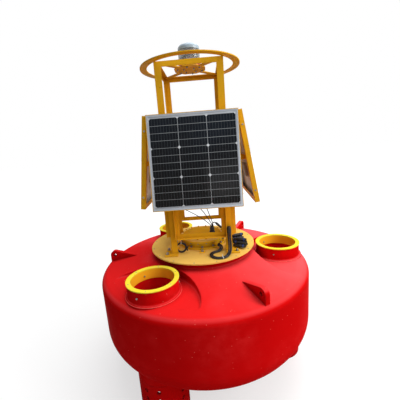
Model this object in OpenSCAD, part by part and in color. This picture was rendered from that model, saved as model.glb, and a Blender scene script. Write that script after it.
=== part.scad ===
// Wave monitoring buoy: a moulded float with three instrument wells and guard tubes,
// a bolted hatch, and a square angle-iron tower with four solar panels and a lantern.
// The buoy stands on its guard tubes, +Z is up and the camera side of the tower faces -Y.

/* [Float] */
// Outer diameter of the float
float_d = 1420; // [1200:2:1700]
// Height of the float from its flat bottom to the edge of its raised centre
float_h = 556; // [480:2:700]
// Radius of the rounding along the bottom edge
bottom_round = 156; // [80:2:180]
// Radius of the rounding along the deck edge
rim_round = 45; // [25:1:60]
// Fall of the deck from the raised centre to the rim, degrees
deck_fall = 11.5; // [6:0.5:14]
// Diameter of the raised centre under the base plate
boss_d = 656; // [560:2:700]
// Height of the raised centre above the deck
boss_h = 37; // [20:1:60]
// Radius of the fillet between the deck and the raised centre
boss_fillet = 14; // [6:1:16]

/* [Wells] */
// Number of instrument wells
well_count = 3; // [3:1:3]
// Distance of a well from the middle of the buoy
well_r = 528; // [500:1:540]
// Direction of the first well, degrees from +X
well_turn = -122; // [-180:1:180]
// Inner diameter of a well
well_bore = 256; // [200:2:270]
// Wall of a well stub and of its guard tube
well_wall = 17; // [8:1:20]
// Height of the well stub above its flat
stub_h = 79; // [50:1:120]
// Depth of the flat round a well below the edge of the raised centre
flat_drop = 63; // [40:1:70]
// Radius of the flat that is cut into the deck
flat_r = 380; // [300:5:400]
// Distance of the flat's middle from the middle of the buoy
flat_at = 728; // [700:2:780]
// Radius of the rounding at the foot of the flat's wall
flat_round = 20; // [8:1:22]
// Radius of the fillet round the foot of a well stub
stub_fillet = 12; // [6:1:14]
// Height of the bead that the stub's fillet runs out on
stub_bead = 2; // [1:0.5:4]
// Overhang of the well ring's flange past the stub
ring_lip = 4; // [1:0.5:10]
// Thickness of the well ring's flange
ring_t = 5; // [4:1:15]
// Depth of the ring's sleeve in the well
sleeve_h = 60; // [30:1:90]
// Wall of the ring's sleeve
sleeve_t = 5; // [3:0.5:8]

/* [Guard tubes] */
// Length of a guard tube below the float
guard_l = 269; // [180:2:400]
// Diameter of the holes in a guard tube
guard_hole = 24; // [12:1:28]
// Rise from one row of holes to the next
guard_pitch = 54; // [40:1:70]
// Depth of the first row of holes below the float
guard_first = 40; // [30:1:60]
// Angle between two columns of holes, degrees
guard_step = 31; // [22:1:36]

/* [Lifting ears] */
// Thickness of an ear
ear_t = 30; // [20:1:45]
// Diameter of the shackle hole
ear_hole = 24; // [16:1:34]
// Distance of the shackle hole from the middle of the buoy
ear_r = 655; // [640:1:660]
// Radius of the round end of an ear
ear_end = 33; // [28:1:40]
// Height of the shackle hole above the deck
ear_rise = 41; // [36:1:46]
// Length of the ear from its shackle hole to its inner tip
ear_l = 165; // [120:5:200]

/* [Base plate and hatch] */
// Diameter of the base plate
plate_d = 724; // [700:2:760]
// Thickness of the base plate
plate_t = 8; // [5:1:12]
// Width of a bolted tab beside the hatch
tab_w = 36; // [24:1:50]
// Length of a bolted tab
tab_l = 42; // [30:1:46]
// Thickness of a bolted tab
tab_t = 4; // [2:0.5:8]
// Distance of a bolted tab from the middle of the buoy
tab_r = 189; // [184:1:200]
// Diameter of the hatch's lower flange
hatch_flange_d = 318; // [306:2:330]
// Thickness of the hatch's flanges
hatch_flange_t = 12; // [8:1:16]
// Outer diameter of the hatch drum
hatch_drum_d = 272; // [250:2:280]
// Height of the hatch drum with its flanges
hatch_h = 54; // [45:1:80]
// Wall of the hatch drum
hatch_wall = 6; // [4:1:10]
// Diameter of the hatch lid
lid_d = 304; // [296:2:320]
// Thickness of the hatch lid
lid_t = 14; // [8:1:20]
// Rounding of the lid's upper edge
lid_round = 5; // [2:0.5:7]
// Clear depth of the chamber below the hatch
chamber_h = 400; // [300:5:440]
// Width of the battery block in the chamber
battery_w = 160; // [100:2:170]
// Height of the battery block
battery_h = 200; // [120:5:280]

/* [Tower] */
// Width of the tower over its posts
tower_w = 394; // [384:1:410]
// Height of the tower above the base plate
tower_h = 1163; // [1100:1:1300]
// Leg of the post angles
post_leg = 40; // [30:1:50]
// Thickness of the post angles
post_t = 4; // [3:0.5:6]
// Width of a foot plate
foot_w = 84; // [82:1:96]
// Length of a foot plate
foot_l = 140; // [110:1:150]
// Reach of a foot plate past the corner of its post
foot_out = 42; // [30:1:50]
// Thickness of a foot plate
foot_t = 6; // [4:1:10]
// Leg of the carrier angles that hold the panels
rail_leg = 30; // [24:1:34]
// Thickness of the carrier angles
rail_t = 3; // [2:0.5:5]
// Width of a carrier over its two rails
rail_w = 326; // [318:1:340]
// Height of the lower edge of a carrier above the base plate
rail_low = 104; // [90:1:140]

/* [Tower top] */
// Leg of the angle bars that join the posts at the top
cap_leg = 30; // [24:1:40]
// Outer diameter of the flat top ring
top_ring_d = 626; // [600:2:660]
// Width of the flat top ring
top_ring_w = 42; // [36:1:56]
// Thickness of the flat top ring
top_ring_t = 6; // [4:1:10]
// Width of the diagonal flats that carry the lantern
cross_w = 32; // [20:1:40]
// Thickness of the diagonal flats and of the lantern plate
cross_t = 5; // [4:1:8]
// Width of the octagonal lantern plate over its flats
lamp_plate_w = 194; // [170:2:240]

/* [Lantern] */
// Diameter of the lantern's base
lamp_base_d = 142; // [138:1:160]
// Height of the lantern's base
lamp_base_h = 34; // [20:1:40]
// Height of the slope at the top of the base
lamp_slope_h = 8; // [4:1:12]
// Diameter of the lantern's clear lens
lamp_body_d = 136; // [120:1:138]
// Height of the lantern's clear lens
lamp_body_h = 71; // [50:1:80]
// Wall of the lens
lens_t = 5; // [3:0.5:8]
// Diameter of the rings that run round the lens
lens_rib_d = 7; // [5:0.5:9]
// Number of rings round the lens
lens_ribs = 8; // [4:1:9]
// Diameter of the light source's column inside the lens
core_d = 70; // [40:1:90]
// Diameter of the drum on that column
core_drum_d = 112; // [80:1:114]
// Height of that drum
core_drum_h = 20; // [10:1:30]
// Height of the drum's underside above the base
core_drum_z = 14; // [8:1:24]
// Height of the lantern's cap
lamp_cap_h = 40; // [36:1:48]
// Rounding of the cap's shoulder
cap_round = 24; // [14:1:26]
// Fall of the cap from its middle to its shoulder, degrees
cap_fall = 8; // [4:0.5:12]

/* [Panels] */
// Width of a panel
panel_w = 510; // [480:2:540]
// Height of a panel
panel_h = 538; // [500:2:560]
// Lean of a panel from upright, its lower edge outwards, degrees
panel_lean = 7.2; // [4:0.2:10]
// Further lean of the panel on the right-hand side, degrees
right_lean = 2; // [0:0.5:3]
// Height of a panel's lower edge above the base plate
panel_low = 332; // [300:2:350]
// Distance of the upper edge of a panel from the tower's face
panel_gap = 85; // [75:1:110]
// Depth of the panel's aluminium rim
rim_deep = 25; // [20:1:35]
// Width of the panel's aluminium rim as seen from the front
rim_face = 11; // [8:0.5:16]
// Width of the rim's flange at the back
rim_flange = 20; // [14:1:24]
// Wall of the rim
rim_wall = 1.5; // [1:0.1:2.5]
// Thickness of the glass and cells
glass_t = 5; // [3:0.5:6]
// Leg of the angle frame round a panel
cradle_leg = 28; // [24:1:34]
// Thickness of the angle frame round a panel
cradle_t = 3; // [2:0.5:5]
// Width of the flat stays between a panel's frame and its carrier
stay_w = 26; // [18:1:27]
// Thickness of the flat stays
stay_t = 5; // [3:0.5:8]

/* [Mooring] */
// Diameter of the mooring plate
keel_d = 300; // [240:2:400]
// Thickness of the mooring plate
keel_t = 12; // [8:1:20]
// Diameter of the hole in the mooring eye
eye_hole = 44; // [30:1:60]
// Thickness of the mooring eye
eye_t = 25; // [16:1:35]

/* [Cables and plugs] */
// Width of a junction box on the back of a panel
box_w = 110; // [80:1:140]
// Height of a junction box
box_h = 90; // [60:1:110]
// Depth of a junction box
box_t = 17; // [10:1:18]
// Distance of a junction box from the lower edge of its panel
box_z = 130; // [100:1:140]
// Place of the cable entry on the lid, to the right of the middle
gland_x = 74; // [60:1:90]
// Place of the cable entry on the lid, towards the rear
gland_y = -12; // [-30:1:30]
// Diameter of the cable entry on the lid
gland_d = 34; // [30:1:40]
// Height of the cable entry on the lid
gland_h = 44; // [30:1:60]
// Diameter of the nut under that entry
gland_nut_d = 44; // [40:1:50]
// Height of that nut
gland_nut_h = 11; // [6:1:16]
// Direction of the cable entry on the drum, degrees from +X
side_gland_turn = -53.13; // [-60:0.01:-45]
// Length of the cable entry on the drum
side_gland_l = 48.5; // [30:0.5:60]
// Diameter of the cable entry on the drum
side_gland_d = 26; // [25:1:28]
// Diameter of the plug on the front right post
post_plug_d = 28; // [25:1:28]
// Length of that plug
post_plug_l = 44; // [30:1:70]
// Place of that plug, to the right of the middle
post_plug_x = 178; // [178:1:180]
// Height of that plug's lower end above the base plate
post_plug_low = 126; // [126:1:160]
// Diameter of a sensor plug
plug_d = 22; // [18:1:23]
// Length of a sensor plug
plug_l = 84; // [60:1:90]
// Radius of the spare cable's coil
coil_r = 30; // [24:1:36]
// Thickness of that coil
coil_d = 16; // [10:1:20]
// Place of that coil, to the right of the middle
coil_x = -134; // [-140:1:-120]
// Diameter of a panel lead
lead_d = 5; // [4:0.5:6]
// Diameter of the sensor lead
sensor_d = 7; // [5:0.5:8]
// Diameter of the coupler in the sensor lead
coupler_d = 17; // [14:1:22]
// Length of that coupler
coupler_l = 42; // [30:1:48]
// Room round the lead in its coupler
coupler_room = 0.75; // [0.5:0.05:1]
// Diameter of each strand of the loop of cable
loop_d = 11; // [8:0.5:11]

/* [Hidden] */
$fn = 96;

// Colours of the finishes
red = [0.85, 0.05, 0.05];
bright_yellow = [1.0, 0.85, 0.12];
ochre = [0.93, 0.75, 0.3];
tower_yellow = [0.85, 0.58, 0.08];

// Small gap between curved faces that seat on each other
seat = 0.3;
// Overlap that joins two shapes of one solid
weld = 1;
// Least hold of the top ring on the corners of the tower
corner_hold = 7;

// Heights, from the ground up
float_z = guard_l;
centre_edge_z = float_z + float_h;
boss_z = centre_edge_z + boss_h;
plate_z = boss_z + plate_t;
flat_z = centre_edge_z - flat_drop;
stub_z = flat_z + stub_h;
tower_top_z = plate_z + tower_h;
lamp_z = tower_top_z - post_t;
lens_z = lamp_z + lamp_base_h;

// The deck line, from the edge of the raised centre to the rim
float_r = float_d / 2;
boss_r = boss_d / 2;
function deck_z(r) = centre_edge_z - (r - boss_r) * tan(deck_fall);
rim_r = float_r - rim_round;
rim_z = deck_z(rim_r) - rim_round / cos(deck_fall);

// Wells and ears alternate round the float
well_or = well_bore / 2 + well_wall;
function well_angle(i) = well_turn + 360 / well_count * i;
function ear_angle(i) = well_angle(i) + 180 / well_count;
ear_z = deck_z(ear_r) + ear_rise;

// Tower and panel places, k = 1 at the front and on round by the right
half_tower = tower_w / 2;
rail_top = panel_low + panel_h * cos(panel_lean);
panel_back = rim_deep + cradle_t;
function lean(k) = k == 2 ? panel_lean + right_lean : panel_lean;
function panel_low_y(k) = -half_tower - panel_gap - panel_h * sin(lean(k));

module at_well(i) {
    rotate([0, 0, well_angle(i)]) translate([well_r, 0, 0]) children();
}

module at_side(k) {
    rotate([0, 0, 90 * (k - 1)]) children();
}

// A panel's own frame: x across, z up its face, front at y = 0 and its back towards +y
module at_panel(k) {
    translate([0, panel_low_y(k), plate_z + panel_low]) rotate([-lean(k), 0, 0]) children();
}

module tube(outer, inner, h) {
    difference() {
        cylinder(d = outer, h = h);
        translate([0, 0, -weld]) cylinder(d = inner, h = h + 2 * weld);
    }
}

// Angle iron along +z, its corner at the origin and its legs along +x and +y
module angle_bar(leg, t, l) {
    linear_extrude(l) polygon([[0, 0], [leg, 0], [leg, t], [t, t], [t, leg], [0, leg]]);
}

// Half section of the float: straight lines with true arcs at the bottom edge, rim and raised centre
module float_section() {
    fillet_r = boss_r + boss_fillet;
    fillet_z = deck_z(fillet_r) + boss_fillet / cos(deck_fall);
    union() {
        polygon([
            [0, float_z],
            [float_r - bottom_round, float_z],
            [float_r, float_z + bottom_round],
            [float_r, rim_z],
            [rim_r + rim_round * sin(deck_fall), rim_z + rim_round * cos(deck_fall)],
            [boss_r, centre_edge_z],
            [boss_r, boss_z],
            [0, boss_z]
        ]);
        translate([float_r - bottom_round, float_z + bottom_round]) circle(r = bottom_round);
        translate([rim_r, rim_z]) circle(r = rim_round);
        difference() {
            polygon([
                [boss_r - weld, centre_edge_z - boss_fillet],
                [fillet_r - boss_fillet * sin(deck_fall), fillet_z - boss_fillet * cos(deck_fall)],
                [fillet_r, fillet_z],
                [boss_r - weld, fillet_z]
            ]);
            translate([fillet_r, fillet_z]) circle(r = boss_fillet);
        }
    }
}

// Half section of the tool that cuts a flat, with a round lower edge
module flat_section() {
    union() {
        polygon([
            [0, flat_z],
            [flat_r - flat_round, flat_z],
            [flat_r, flat_z + flat_round],
            [flat_r, boss_z + boss_h],
            [0, boss_z + boss_h]
        ]);
        translate([flat_r - flat_round, flat_z + flat_round]) circle(r = flat_round);
    }
}

// Half section of a well stub with the fillet round its foot
module stub_section() {
    fillet_z = flat_z + stub_bead + stub_fillet;
    union() {
        translate([0, float_z]) square([well_or, stub_z - float_z]);
        difference() {
            translate([well_or - weld, rim_z]) square([stub_fillet + weld, fillet_z - rim_z]);
            translate([well_or + stub_fillet, fillet_z]) circle(r = stub_fillet);
        }
    }
}

// Side view of an ear: a tab with a round end that runs down to a tip on the deck
module ear_side() {
    tip_r = ear_r - ear_l;
    union() {
        translate([ear_r, ear_z]) circle(r = ear_end);
        polygon([
            [tip_r, deck_z(tip_r) - weld],
            [ear_r - ear_end * sin(deck_fall), ear_z + ear_end * cos(deck_fall)],
            [ear_r + ear_end, ear_z],
            [ear_r + ear_end, rim_z],
            [tip_r, rim_z]
        ]);
    }
}

module ear() {
    difference() {
        rotate([90, 0, 0]) translate([0, 0, -ear_t / 2]) linear_extrude(ear_t) ear_side();
        translate([ear_r, 0, ear_z]) rotate([90, 0, 0]) cylinder(d = ear_hole, h = 2 * ear_t, center = true);
    }
}

module float_body() {
    color(red) difference() {
        union() {
            difference() {
                rotate_extrude() float_section();
                for (i = [0 : well_count - 1])
                    rotate([0, 0, well_angle(i)]) translate([flat_at, 0, 0]) rotate_extrude() flat_section();
            }
            for (i = [0 : well_count - 1]) at_well(i) rotate_extrude() stub_section();
            for (i = [0 : well_count - 1]) rotate([0, 0, ear_angle(i)]) ear();
        }
        for (i = [0 : well_count - 1])
            at_well(i) translate([0, 0, float_z - weld]) cylinder(d = well_bore, h = float_h + 2 * stub_h);
        translate([0, 0, boss_z - chamber_h])
            cylinder(d = hatch_drum_d - 2 * hatch_wall, h = chamber_h + weld);
    }
}

// Three groups of three columns of holes, with plain strips between them
module guard_tube(i) {
    rows = 1 + floor((guard_l - guard_first - guard_hole) / guard_pitch);
    color(red) at_well(i) difference() {
        tube(2 * well_or, well_bore, guard_l);
        for (group = [0 : 2], column = [-1 : 1], row = [0 : rows - 1])
            rotate([0, 0, 120 * group + guard_step * column])
                translate([well_bore / 2 - weld, 0, guard_l - guard_first - guard_pitch * row])
                    rotate([0, 90, 0]) cylinder(d = guard_hole, h = well_wall + 2 * weld);
    }
}

module well_ring(i) {
    sleeve_od = well_bore - 2 * seat;
    color(bright_yellow) at_well(i) translate([0, 0, stub_z]) difference() {
        union() {
            cylinder(r = well_or + ring_lip, h = ring_t);
            translate([0, 0, -sleeve_h]) cylinder(d = sleeve_od, h = sleeve_h + weld);
        }
        translate([0, 0, -sleeve_h - weld])
            cylinder(d = sleeve_od - 2 * sleeve_t, h = sleeve_h + ring_t + 2 * weld);
    }
}

// Plate on the raised centre, with four bolted tabs beside the hatch
module base_plate() {
    color(ochre) translate([0, 0, boss_z]) {
        tube(plate_d, hatch_drum_d - 2 * hatch_wall, plate_t);
        for (k = [1 : 4])
            at_side(k) translate([-tab_w / 2, -tab_r - tab_l / 2, plate_t - weld])
                cube([tab_w, tab_l, tab_t + weld]);
    }
}

module hatch_drum() {
    bore = hatch_drum_d - 2 * hatch_wall;
    color(tower_yellow) translate([0, 0, plate_z]) difference() {
        union() {
            cylinder(d = hatch_flange_d, h = hatch_flange_t);
            cylinder(d = hatch_drum_d, h = hatch_h);
            translate([0, 0, hatch_h - hatch_flange_t]) cylinder(d = lid_d, h = hatch_flange_t);
        }
        translate([0, 0, -weld]) cylinder(d = bore, h = hatch_h + 2 * weld);
    }
}

module hatch_lid() {
    edge_r = lid_d / 2 - lid_round;
    edge_z = lid_t - lid_round;
    color(tower_yellow) translate([0, 0, plate_z + hatch_h]) rotate_extrude() union() {
        polygon([[0, 0], [lid_d / 2, 0], [lid_d / 2, edge_z], [edge_r, lid_t], [0, lid_t]]);
        translate([edge_r, edge_z]) circle(r = lid_round);
    }
}

module battery_block() {
    color("dimgray") translate([-battery_w / 2, -battery_w / 2, boss_z - chamber_h])
        cube([battery_w, battery_w, battery_h]);
}

module mooring_plate() {
    eye_r = eye_hole / 2 + eye_t;
    eye_drop = keel_t + eye_r;
    color("gray") translate([0, 0, float_z]) difference() {
        union() {
            translate([0, 0, -keel_t]) cylinder(d = keel_d, h = keel_t);
            translate([0, 0, -eye_drop]) rotate([90, 0, 0]) cylinder(r = eye_r, h = eye_t, center = true);
            translate([-eye_r, -eye_t / 2, -eye_drop]) cube([2 * eye_r, eye_t, eye_drop - keel_t + weld]);
        }
        translate([0, 0, -eye_drop]) rotate([90, 0, 0]) cylinder(d = eye_hole, h = 2 * eye_t, center = true);
    }
}

// A post stands on the left corner of its side, with its foot plate under it; all feet lie front to rear
module post(k) {
    foot = k % 2 == 1 ? [foot_w, foot_l, foot_t] : [foot_l, foot_w, foot_t];
    color(tower_yellow) at_side(k) translate([-half_tower, -half_tower, plate_z]) {
        translate([-foot_out, -foot_out, 0]) cube(foot);
        translate([0, 0, foot_t - weld]) angle_bar(post_leg, post_t, tower_h - cap_leg - foot_t + weld);
    }
}

// U-shaped frame of angle iron on the tower's face, open at the top
module carrier(k) {
    rail_h = rail_top - rail_low;
    color(tower_yellow) at_side(k) translate([0, -half_tower, plate_z + rail_low]) {
        for (side = [-1, 1])
            translate([side * rail_w / 2, 0, 0]) mirror([(side + 1) / 2, 0, 0]) mirror([0, 1, 0])
                angle_bar(rail_leg, rail_t, rail_h);
        translate([-rail_w / 2, -rail_leg, 0]) cube([rail_w, rail_leg, rail_t]);
        translate([-rail_w / 2, -rail_t, 0]) cube([rail_w, rail_t, rail_leg]);
    }
}

// Four angle bars round the top of the posts
module top_frame() {
    inner_w = tower_w - 2 * post_t;
    open_w = tower_w - 2 * cap_leg;
    color(tower_yellow) translate([0, 0, tower_top_z]) difference() {
        translate([-half_tower, -half_tower, -cap_leg]) cube([tower_w, tower_w, cap_leg]);
        translate([-inner_w / 2, -inner_w / 2, -cap_leg - weld])
            cube([inner_w, inner_w, cap_leg - post_t + weld]);
        translate([-open_w / 2, -open_w / 2, -cap_leg - weld]) cube([open_w, open_w, cap_leg + 2 * weld]);
    }
}

// Diagonal flats under the top frame's corners, with an octagonal plate where they cross
module lamp_cross() {
    reach = (half_tower - post_t - seat) * sqrt(2) - cross_w / 2;
    color(tower_yellow) translate([0, 0, lamp_z - cross_t]) {
        for (turn = [45, 135])
            rotate([0, 0, turn]) translate([-reach, -cross_w / 2, 0]) cube([2 * reach, cross_w, cross_t]);
        rotate([0, 0, 22.5]) cylinder(d = lamp_plate_w / cos(22.5), h = cross_t, $fn = 8);
    }
}

// Flat ring on the tower's corners, wider than its set width where it would miss them
module top_ring() {
    corner_bore = 2 * (half_tower * sqrt(2) - corner_hold);
    color(tower_yellow) translate([0, 0, tower_top_z])
        tube(top_ring_d, min(top_ring_d - 2 * top_ring_w, corner_bore), top_ring_t);
}

module lantern_base() {
    color(red) translate([0, 0, lamp_z]) {
        cylinder(d = lamp_base_d, h = lamp_base_h - lamp_slope_h);
        translate([0, 0, lamp_base_h - lamp_slope_h])
            cylinder(d1 = lamp_base_d, d2 = lamp_body_d, h = lamp_slope_h);
    }
}

// Hollow lens with rings round it that spread the light
module lantern_body() {
    bore_r = lamp_body_d / 2 - lens_t;
    rib_r = (lamp_body_d - lens_rib_d) / 2;
    wall_t = lens_t - lens_rib_d / 4;
    color("gainsboro") translate([0, 0, lens_z]) rotate_extrude() union() {
        translate([bore_r, 0]) square([wall_t, lamp_body_h]);
        for (i = [0 : lens_ribs - 1])
            translate([rib_r, lamp_body_h * (i + 0.5) / lens_ribs]) circle(d = lens_rib_d);
    }
}

module lantern_core() {
    color("dimgray") translate([0, 0, lens_z]) {
        cylinder(d = core_d, h = lamp_body_h);
        translate([0, 0, core_drum_z]) cylinder(d = core_drum_d, h = core_drum_h);
    }
}

// Cap with a round shoulder and a top that falls a little to all sides
module lantern_cap() {
    r = lamp_body_d / 2;
    shoulder_r = r - cap_round;
    edge_r = shoulder_r + cap_round * sin(cap_fall);
    edge_z = lamp_cap_h - edge_r * tan(cap_fall);
    shoulder_z = edge_z - cap_round * cos(cap_fall);
    color("silver") translate([0, 0, lens_z + lamp_body_h]) rotate_extrude() intersection() {
        square([r, lamp_cap_h]);
        union() {
            polygon([[0, 0], [r, 0], [r, shoulder_z], [edge_r, edge_z], [0, lamp_cap_h]]);
            translate([shoulder_r, shoulder_z]) circle(r = cap_round);
        }
    }
}

// Angle frame that wraps the back and the edges of a panel, with a bar across its middle
module cradle(k) {
    outer_w = panel_w + 2 * (seat + cradle_t);
    outer_h = panel_h + 2 * (seat + cradle_t);
    open_w = outer_w - 2 * cradle_leg;
    open_h = outer_h - 2 * cradle_leg;
    color(tower_yellow) at_side(k) at_panel(k) {
        difference() {
            translate([-outer_w / 2, panel_back - cradle_leg, -seat - cradle_t])
                cube([outer_w, cradle_leg, outer_h]);
            translate([-panel_w / 2 - seat, panel_back - cradle_leg - weld, -seat])
                cube([panel_w + 2 * seat, cradle_leg - cradle_t + weld, panel_h + 2 * seat]);
            translate([-open_w / 2, 0, cradle_leg - seat - cradle_t])
                cube([open_w, panel_back + weld, open_h]);
        }
        translate([-open_w / 2 - weld, rim_deep, (panel_h - cradle_leg) / 2])
            cube([open_w + 2 * weld, cradle_t, cradle_leg]);
    }
}

// Two cleats at the top and two longer ones at the cross bar join a cradle to its carrier
module stay(k) {
    bar_level = panel_low + panel_h / 2 * cos(lean(k)) - panel_back * sin(lean(k)) - stay_w / 2;
    levels = [bar_level, rail_top - stay_w];
    color(tower_yellow) at_side(k) difference() {
        for (side = [-1, 1], level = levels)
            translate([side * (rail_w + stay_t) / 2 - stay_t / 2, panel_low_y(k), plate_z + level])
                cube([stay_t, -panel_low_y(k) - half_tower, stay_w]);
        at_panel(k) translate([-panel_w, -panel_w, -panel_h])
            cube([2 * panel_w, panel_w + panel_back, 3 * panel_h]);
    }
}

// Opening of a panel's rim that leaves an edge of the given width, between two depths
module rim_opening(edge, from, to) {
    translate([-panel_w / 2 + edge, from, edge]) cube([panel_w - 2 * edge, to - from, panel_h - 2 * edge]);
}

// Channel round a panel: a lip in front of the glass, a thin wall and a flange at the back
module panel_rim(k) {
    color("lightsteelblue") at_side(k) at_panel(k) difference() {
        rim_opening(0, 0, rim_deep);
        rim_opening(rim_face, -weld, 2 * rim_wall);
        rim_opening(rim_wall, rim_wall, rim_deep - rim_wall);
        rim_opening(rim_flange, rim_deep - 2 * rim_wall, rim_deep + weld);
    }
}

module panel_glass(k) {
    color([0.06, 0.06, 0.08]) at_side(k) at_panel(k)
        rim_opening(rim_wall + seat, rim_wall, rim_wall + glass_t);
}

module junction_box(k) {
    color("black") at_side(k) at_panel(k) translate([-box_w / 2, rim_wall + glass_t, box_z])
        cube([box_w, box_t, box_h]);
}

// Cable entry on the lid, where the panel leads go down into the hatch
module lid_gland() {
    color("black") translate([gland_x, gland_y, plate_z + hatch_h + lid_t]) {
        cylinder(d = gland_nut_d, h = gland_nut_h);
        cylinder(d = gland_d, h = gland_h);
    }
}

// Cable entry on the front right of the drum, pointing outwards
module side_gland() {
    color(tower_yellow) rotate([0, 0, side_gland_turn])
        translate([hatch_drum_d / 2 + seat, 0, plate_z + hatch_h / 2])
        rotate([0, 90, 0]) cylinder(d = side_gland_d, h = side_gland_l);
}

// Plug on the front right post, where the loop of cable ends
module post_plug() {
    at_y = -half_tower - post_plug_d / 2 - seat;
    at_z = plate_z + post_plug_low + seat;
    color("black") translate([post_plug_x, at_y, at_z]) cylinder(d = post_plug_d, h = post_plug_l);
}

// A stack of sensor plugs that lie side by side, given as steps across and layers up
module plug_stack(plugs) {
    pitch = plug_d + seat;
    for (p = plugs)
        translate([0, p[0] * pitch, plug_d / 2 + seat + p[1] * pitch * sin(60)])
            rotate([0, 90, 0]) cylinder(d = plug_d, h = plug_l);
}

// Places and headings of the two stacks, one on the base plate and one on the foot plate
plate_stack = [214, -80, 0];
plate_stack_turn = 20;
foot_stack = [206, -146, foot_t];
foot_stack_turn = -25;
stack_steps = [[0, 0], [1, 0], [2, 0], [0.5, 1], [1.5, 1], [1, 2]];

// Sensor plugs beside the front right post
module sensor_plugs() {
    color([0.08, 0.08, 0.1]) translate([0, 0, plate_z]) {
        translate(plate_stack) rotate([0, 0, plate_stack_turn]) plug_stack(stack_steps);
        translate(foot_stack) rotate([0, 0, foot_stack_turn]) plug_stack(stack_steps);
    }
}

// Small coil of spare cable that stands inside the front left post
module spare_coil() {
    at_y = -half_tower + post_t + seat + coil_d / 2;
    at_z = plate_z + seat + coil_r + coil_d / 2;
    color([0.1, 0.1, 0.1]) translate([coil_x, at_y, at_z]) rotate([90, 0, 0])
        rotate_extrude() translate([coil_r, 0]) circle(d = coil_d);
}

// Routes of the cords, points along each centre line
lead_1 = [[-318, -30, 1328.5], [-318, -30, 1314], [-316, -30, 1296], [-309, -30, 1272], [-296, -29, 1247],
    [-274, -28, 1222], [-248, -27, 1202], [-220, -26, 1184], [-188, -24, 1165], [-156, -22, 1147],
    [-125, -21, 1130], [-94, -20, 1113], [-65, -19, 1096], [-36, -18, 1078], [-10, -17, 1060],
    [14, -16, 1042], [32, -15, 1027], [47, -14, 1013], [58, -13, 1001], [64, -12, 992], [66, -12, 982.5]];
lead_2 = [[-30, -318, 1328.5], [-30, -318, 1314], [-29, -315, 1288], [-26, -307, 1262], [-20, -293, 1236],
    [-12, -276, 1213], [-2, -254, 1192], [8, -231, 1173], [18, -206, 1153], [28, -180, 1132],
    [37, -150, 1108], [46, -120, 1084], [54, -92, 1061], [61, -66, 1040], [66, -46, 1024], [70, -29, 1010],
    [73, -17, 997], [74, -12, 982.5]];
lead_3 = [[30, -318, 1328.5], [30, -318, 1314], [31, -315, 1288], [33, -307, 1262], [36, -293, 1236],
    [40, -276, 1213], [44, -254, 1192], [48, -231, 1173], [52, -206, 1153], [57, -180, 1132],
    [61, -150, 1108], [66, -120, 1084], [71, -92, 1061], [75, -66, 1040], [78, -46, 1024], [81, -29, 1010],
    [82, -17, 997], [82, -12, 982.5]];
sensor_route = [[78, -3, 982.5], [78, -3, 994.5], [80, -3, 1002], [85.5, -3, 1007.5], [92, -4, 1009.5],
    [98, -4, 1008.5], [103.5, -5, 1005], [140, -13, 970], [146, -18, 957], [151, -25, 945], [156, -33, 933],
    [161, -40, 923], [166, -47, 914], [172, -53, 907], [180, -55.5, 903], [189, -54, 901],
    [202, -48.8, 900.6]];
coupler_from = 6;
loop_inner = [[115.8, -144.4, 897], [123, -154, 897], [129.5, -167.5, 894], [129.5, -183.5, 888],
    [121.5, -198.5, 882], [106.5, -208.5, 877.5], [90.5, -214.5, 876], [77.5, -223, 876], [68, -235.5, 876],
    [63.5, -251, 876], [66.5, -270, 876], [77.5, -287, 876], [93, -297.5, 876], [111.5, -300, 876],
    [130.5, -295.5, 876], [147.5, -283, 877.5], [160.5, -263, 882], [168.5, -244, 890], [173, -226, 905],
    [174, -215, 926], [173, -211.5, 948], [172, -211.3, 972], [172, -211.3, 996]];
loop_outer = [[106.2, -151.6, 897], [113.4, -161.2, 897], [117.5, -170.5, 894], [117.5, -180.5, 888],
    [112.5, -190.5, 882], [101.5, -197.5, 877.5], [85.5, -203.5, 876], [69.5, -214, 876], [57, -230.5, 876],
    [51.5, -251, 876], [55.5, -274, 876], [68.5, -295, 876], [89, -308.5, 876], [112.5, -312, 876],
    [135.5, -306.5, 876], [156.5, -291, 877.5], [171.5, -269, 882], [179.5, -248, 890], [185, -228, 905],
    [186, -215, 926], [185, -211.5, 948], [184, -211.3, 972], [184, -211.3, 996]];

function unit(v) = v / norm(v);
function heading(path, i) =
    unit(path[min(i + 1, len(path) - 1)] - path[max(i - 1, 0)]);

// Closed tube of one diameter along a list of points
module cord(path, d, sides = 8) {
    reference = unit([0.31, 0.17, 0.93]);
    rings = len(path);
    points = [
        for (i = [0 : rings - 1])
            let (along = heading(path, i), across = unit(cross(along, reference)))
            let (third = cross(along, across))
                for (s = [0 : sides - 1])
                    path[i] + d / 2 * (across * cos(360 * s / sides) + third * sin(360 * s / sides))
    ];
    walls = [
        for (i = [0 : rings - 2], s = [0 : sides - 1])
            let (a = i * sides + s, b = i * sides + (s + 1) % sides)
                each [[a, b, b + sides], [a, b + sides, a + sides]]
    ];
    first = [[for (s = [sides - 1 : -1 : 0]) s]];
    last = [[for (s = [0 : sides - 1]) (rings - 1) * sides + s]];
    color([0.05, 0.05, 0.05]) polyhedron(points = points, faces = concat(walls, first, last), convexity = 10);
}

module panel_lead_1() { cord(lead_1, lead_d); }
module panel_lead_2() { cord(lead_2, lead_d); }
module panel_lead_3() { cord(lead_3, lead_d); }
module sensor_lead() { cord(sensor_route, sensor_d); }
module loop_cable() { cord(loop_inner, loop_d); }
module loop_cable_2() { cord(loop_outer, loop_d); }

// Coupler on the straight stretch of the sensor lead
module lead_coupler() {
    stretch = sensor_route[coupler_from + 1] - sensor_route[coupler_from];
    along = unit(stretch);
    turn = [0, acos(along[2]), atan2(along[1], along[0])];
    color("black") translate(sensor_route[coupler_from] + stretch / 2) rotate(turn)
        translate([0, 0, -coupler_l / 2]) tube(coupler_d, sensor_d + 2 * coupler_room, coupler_l);
}

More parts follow.
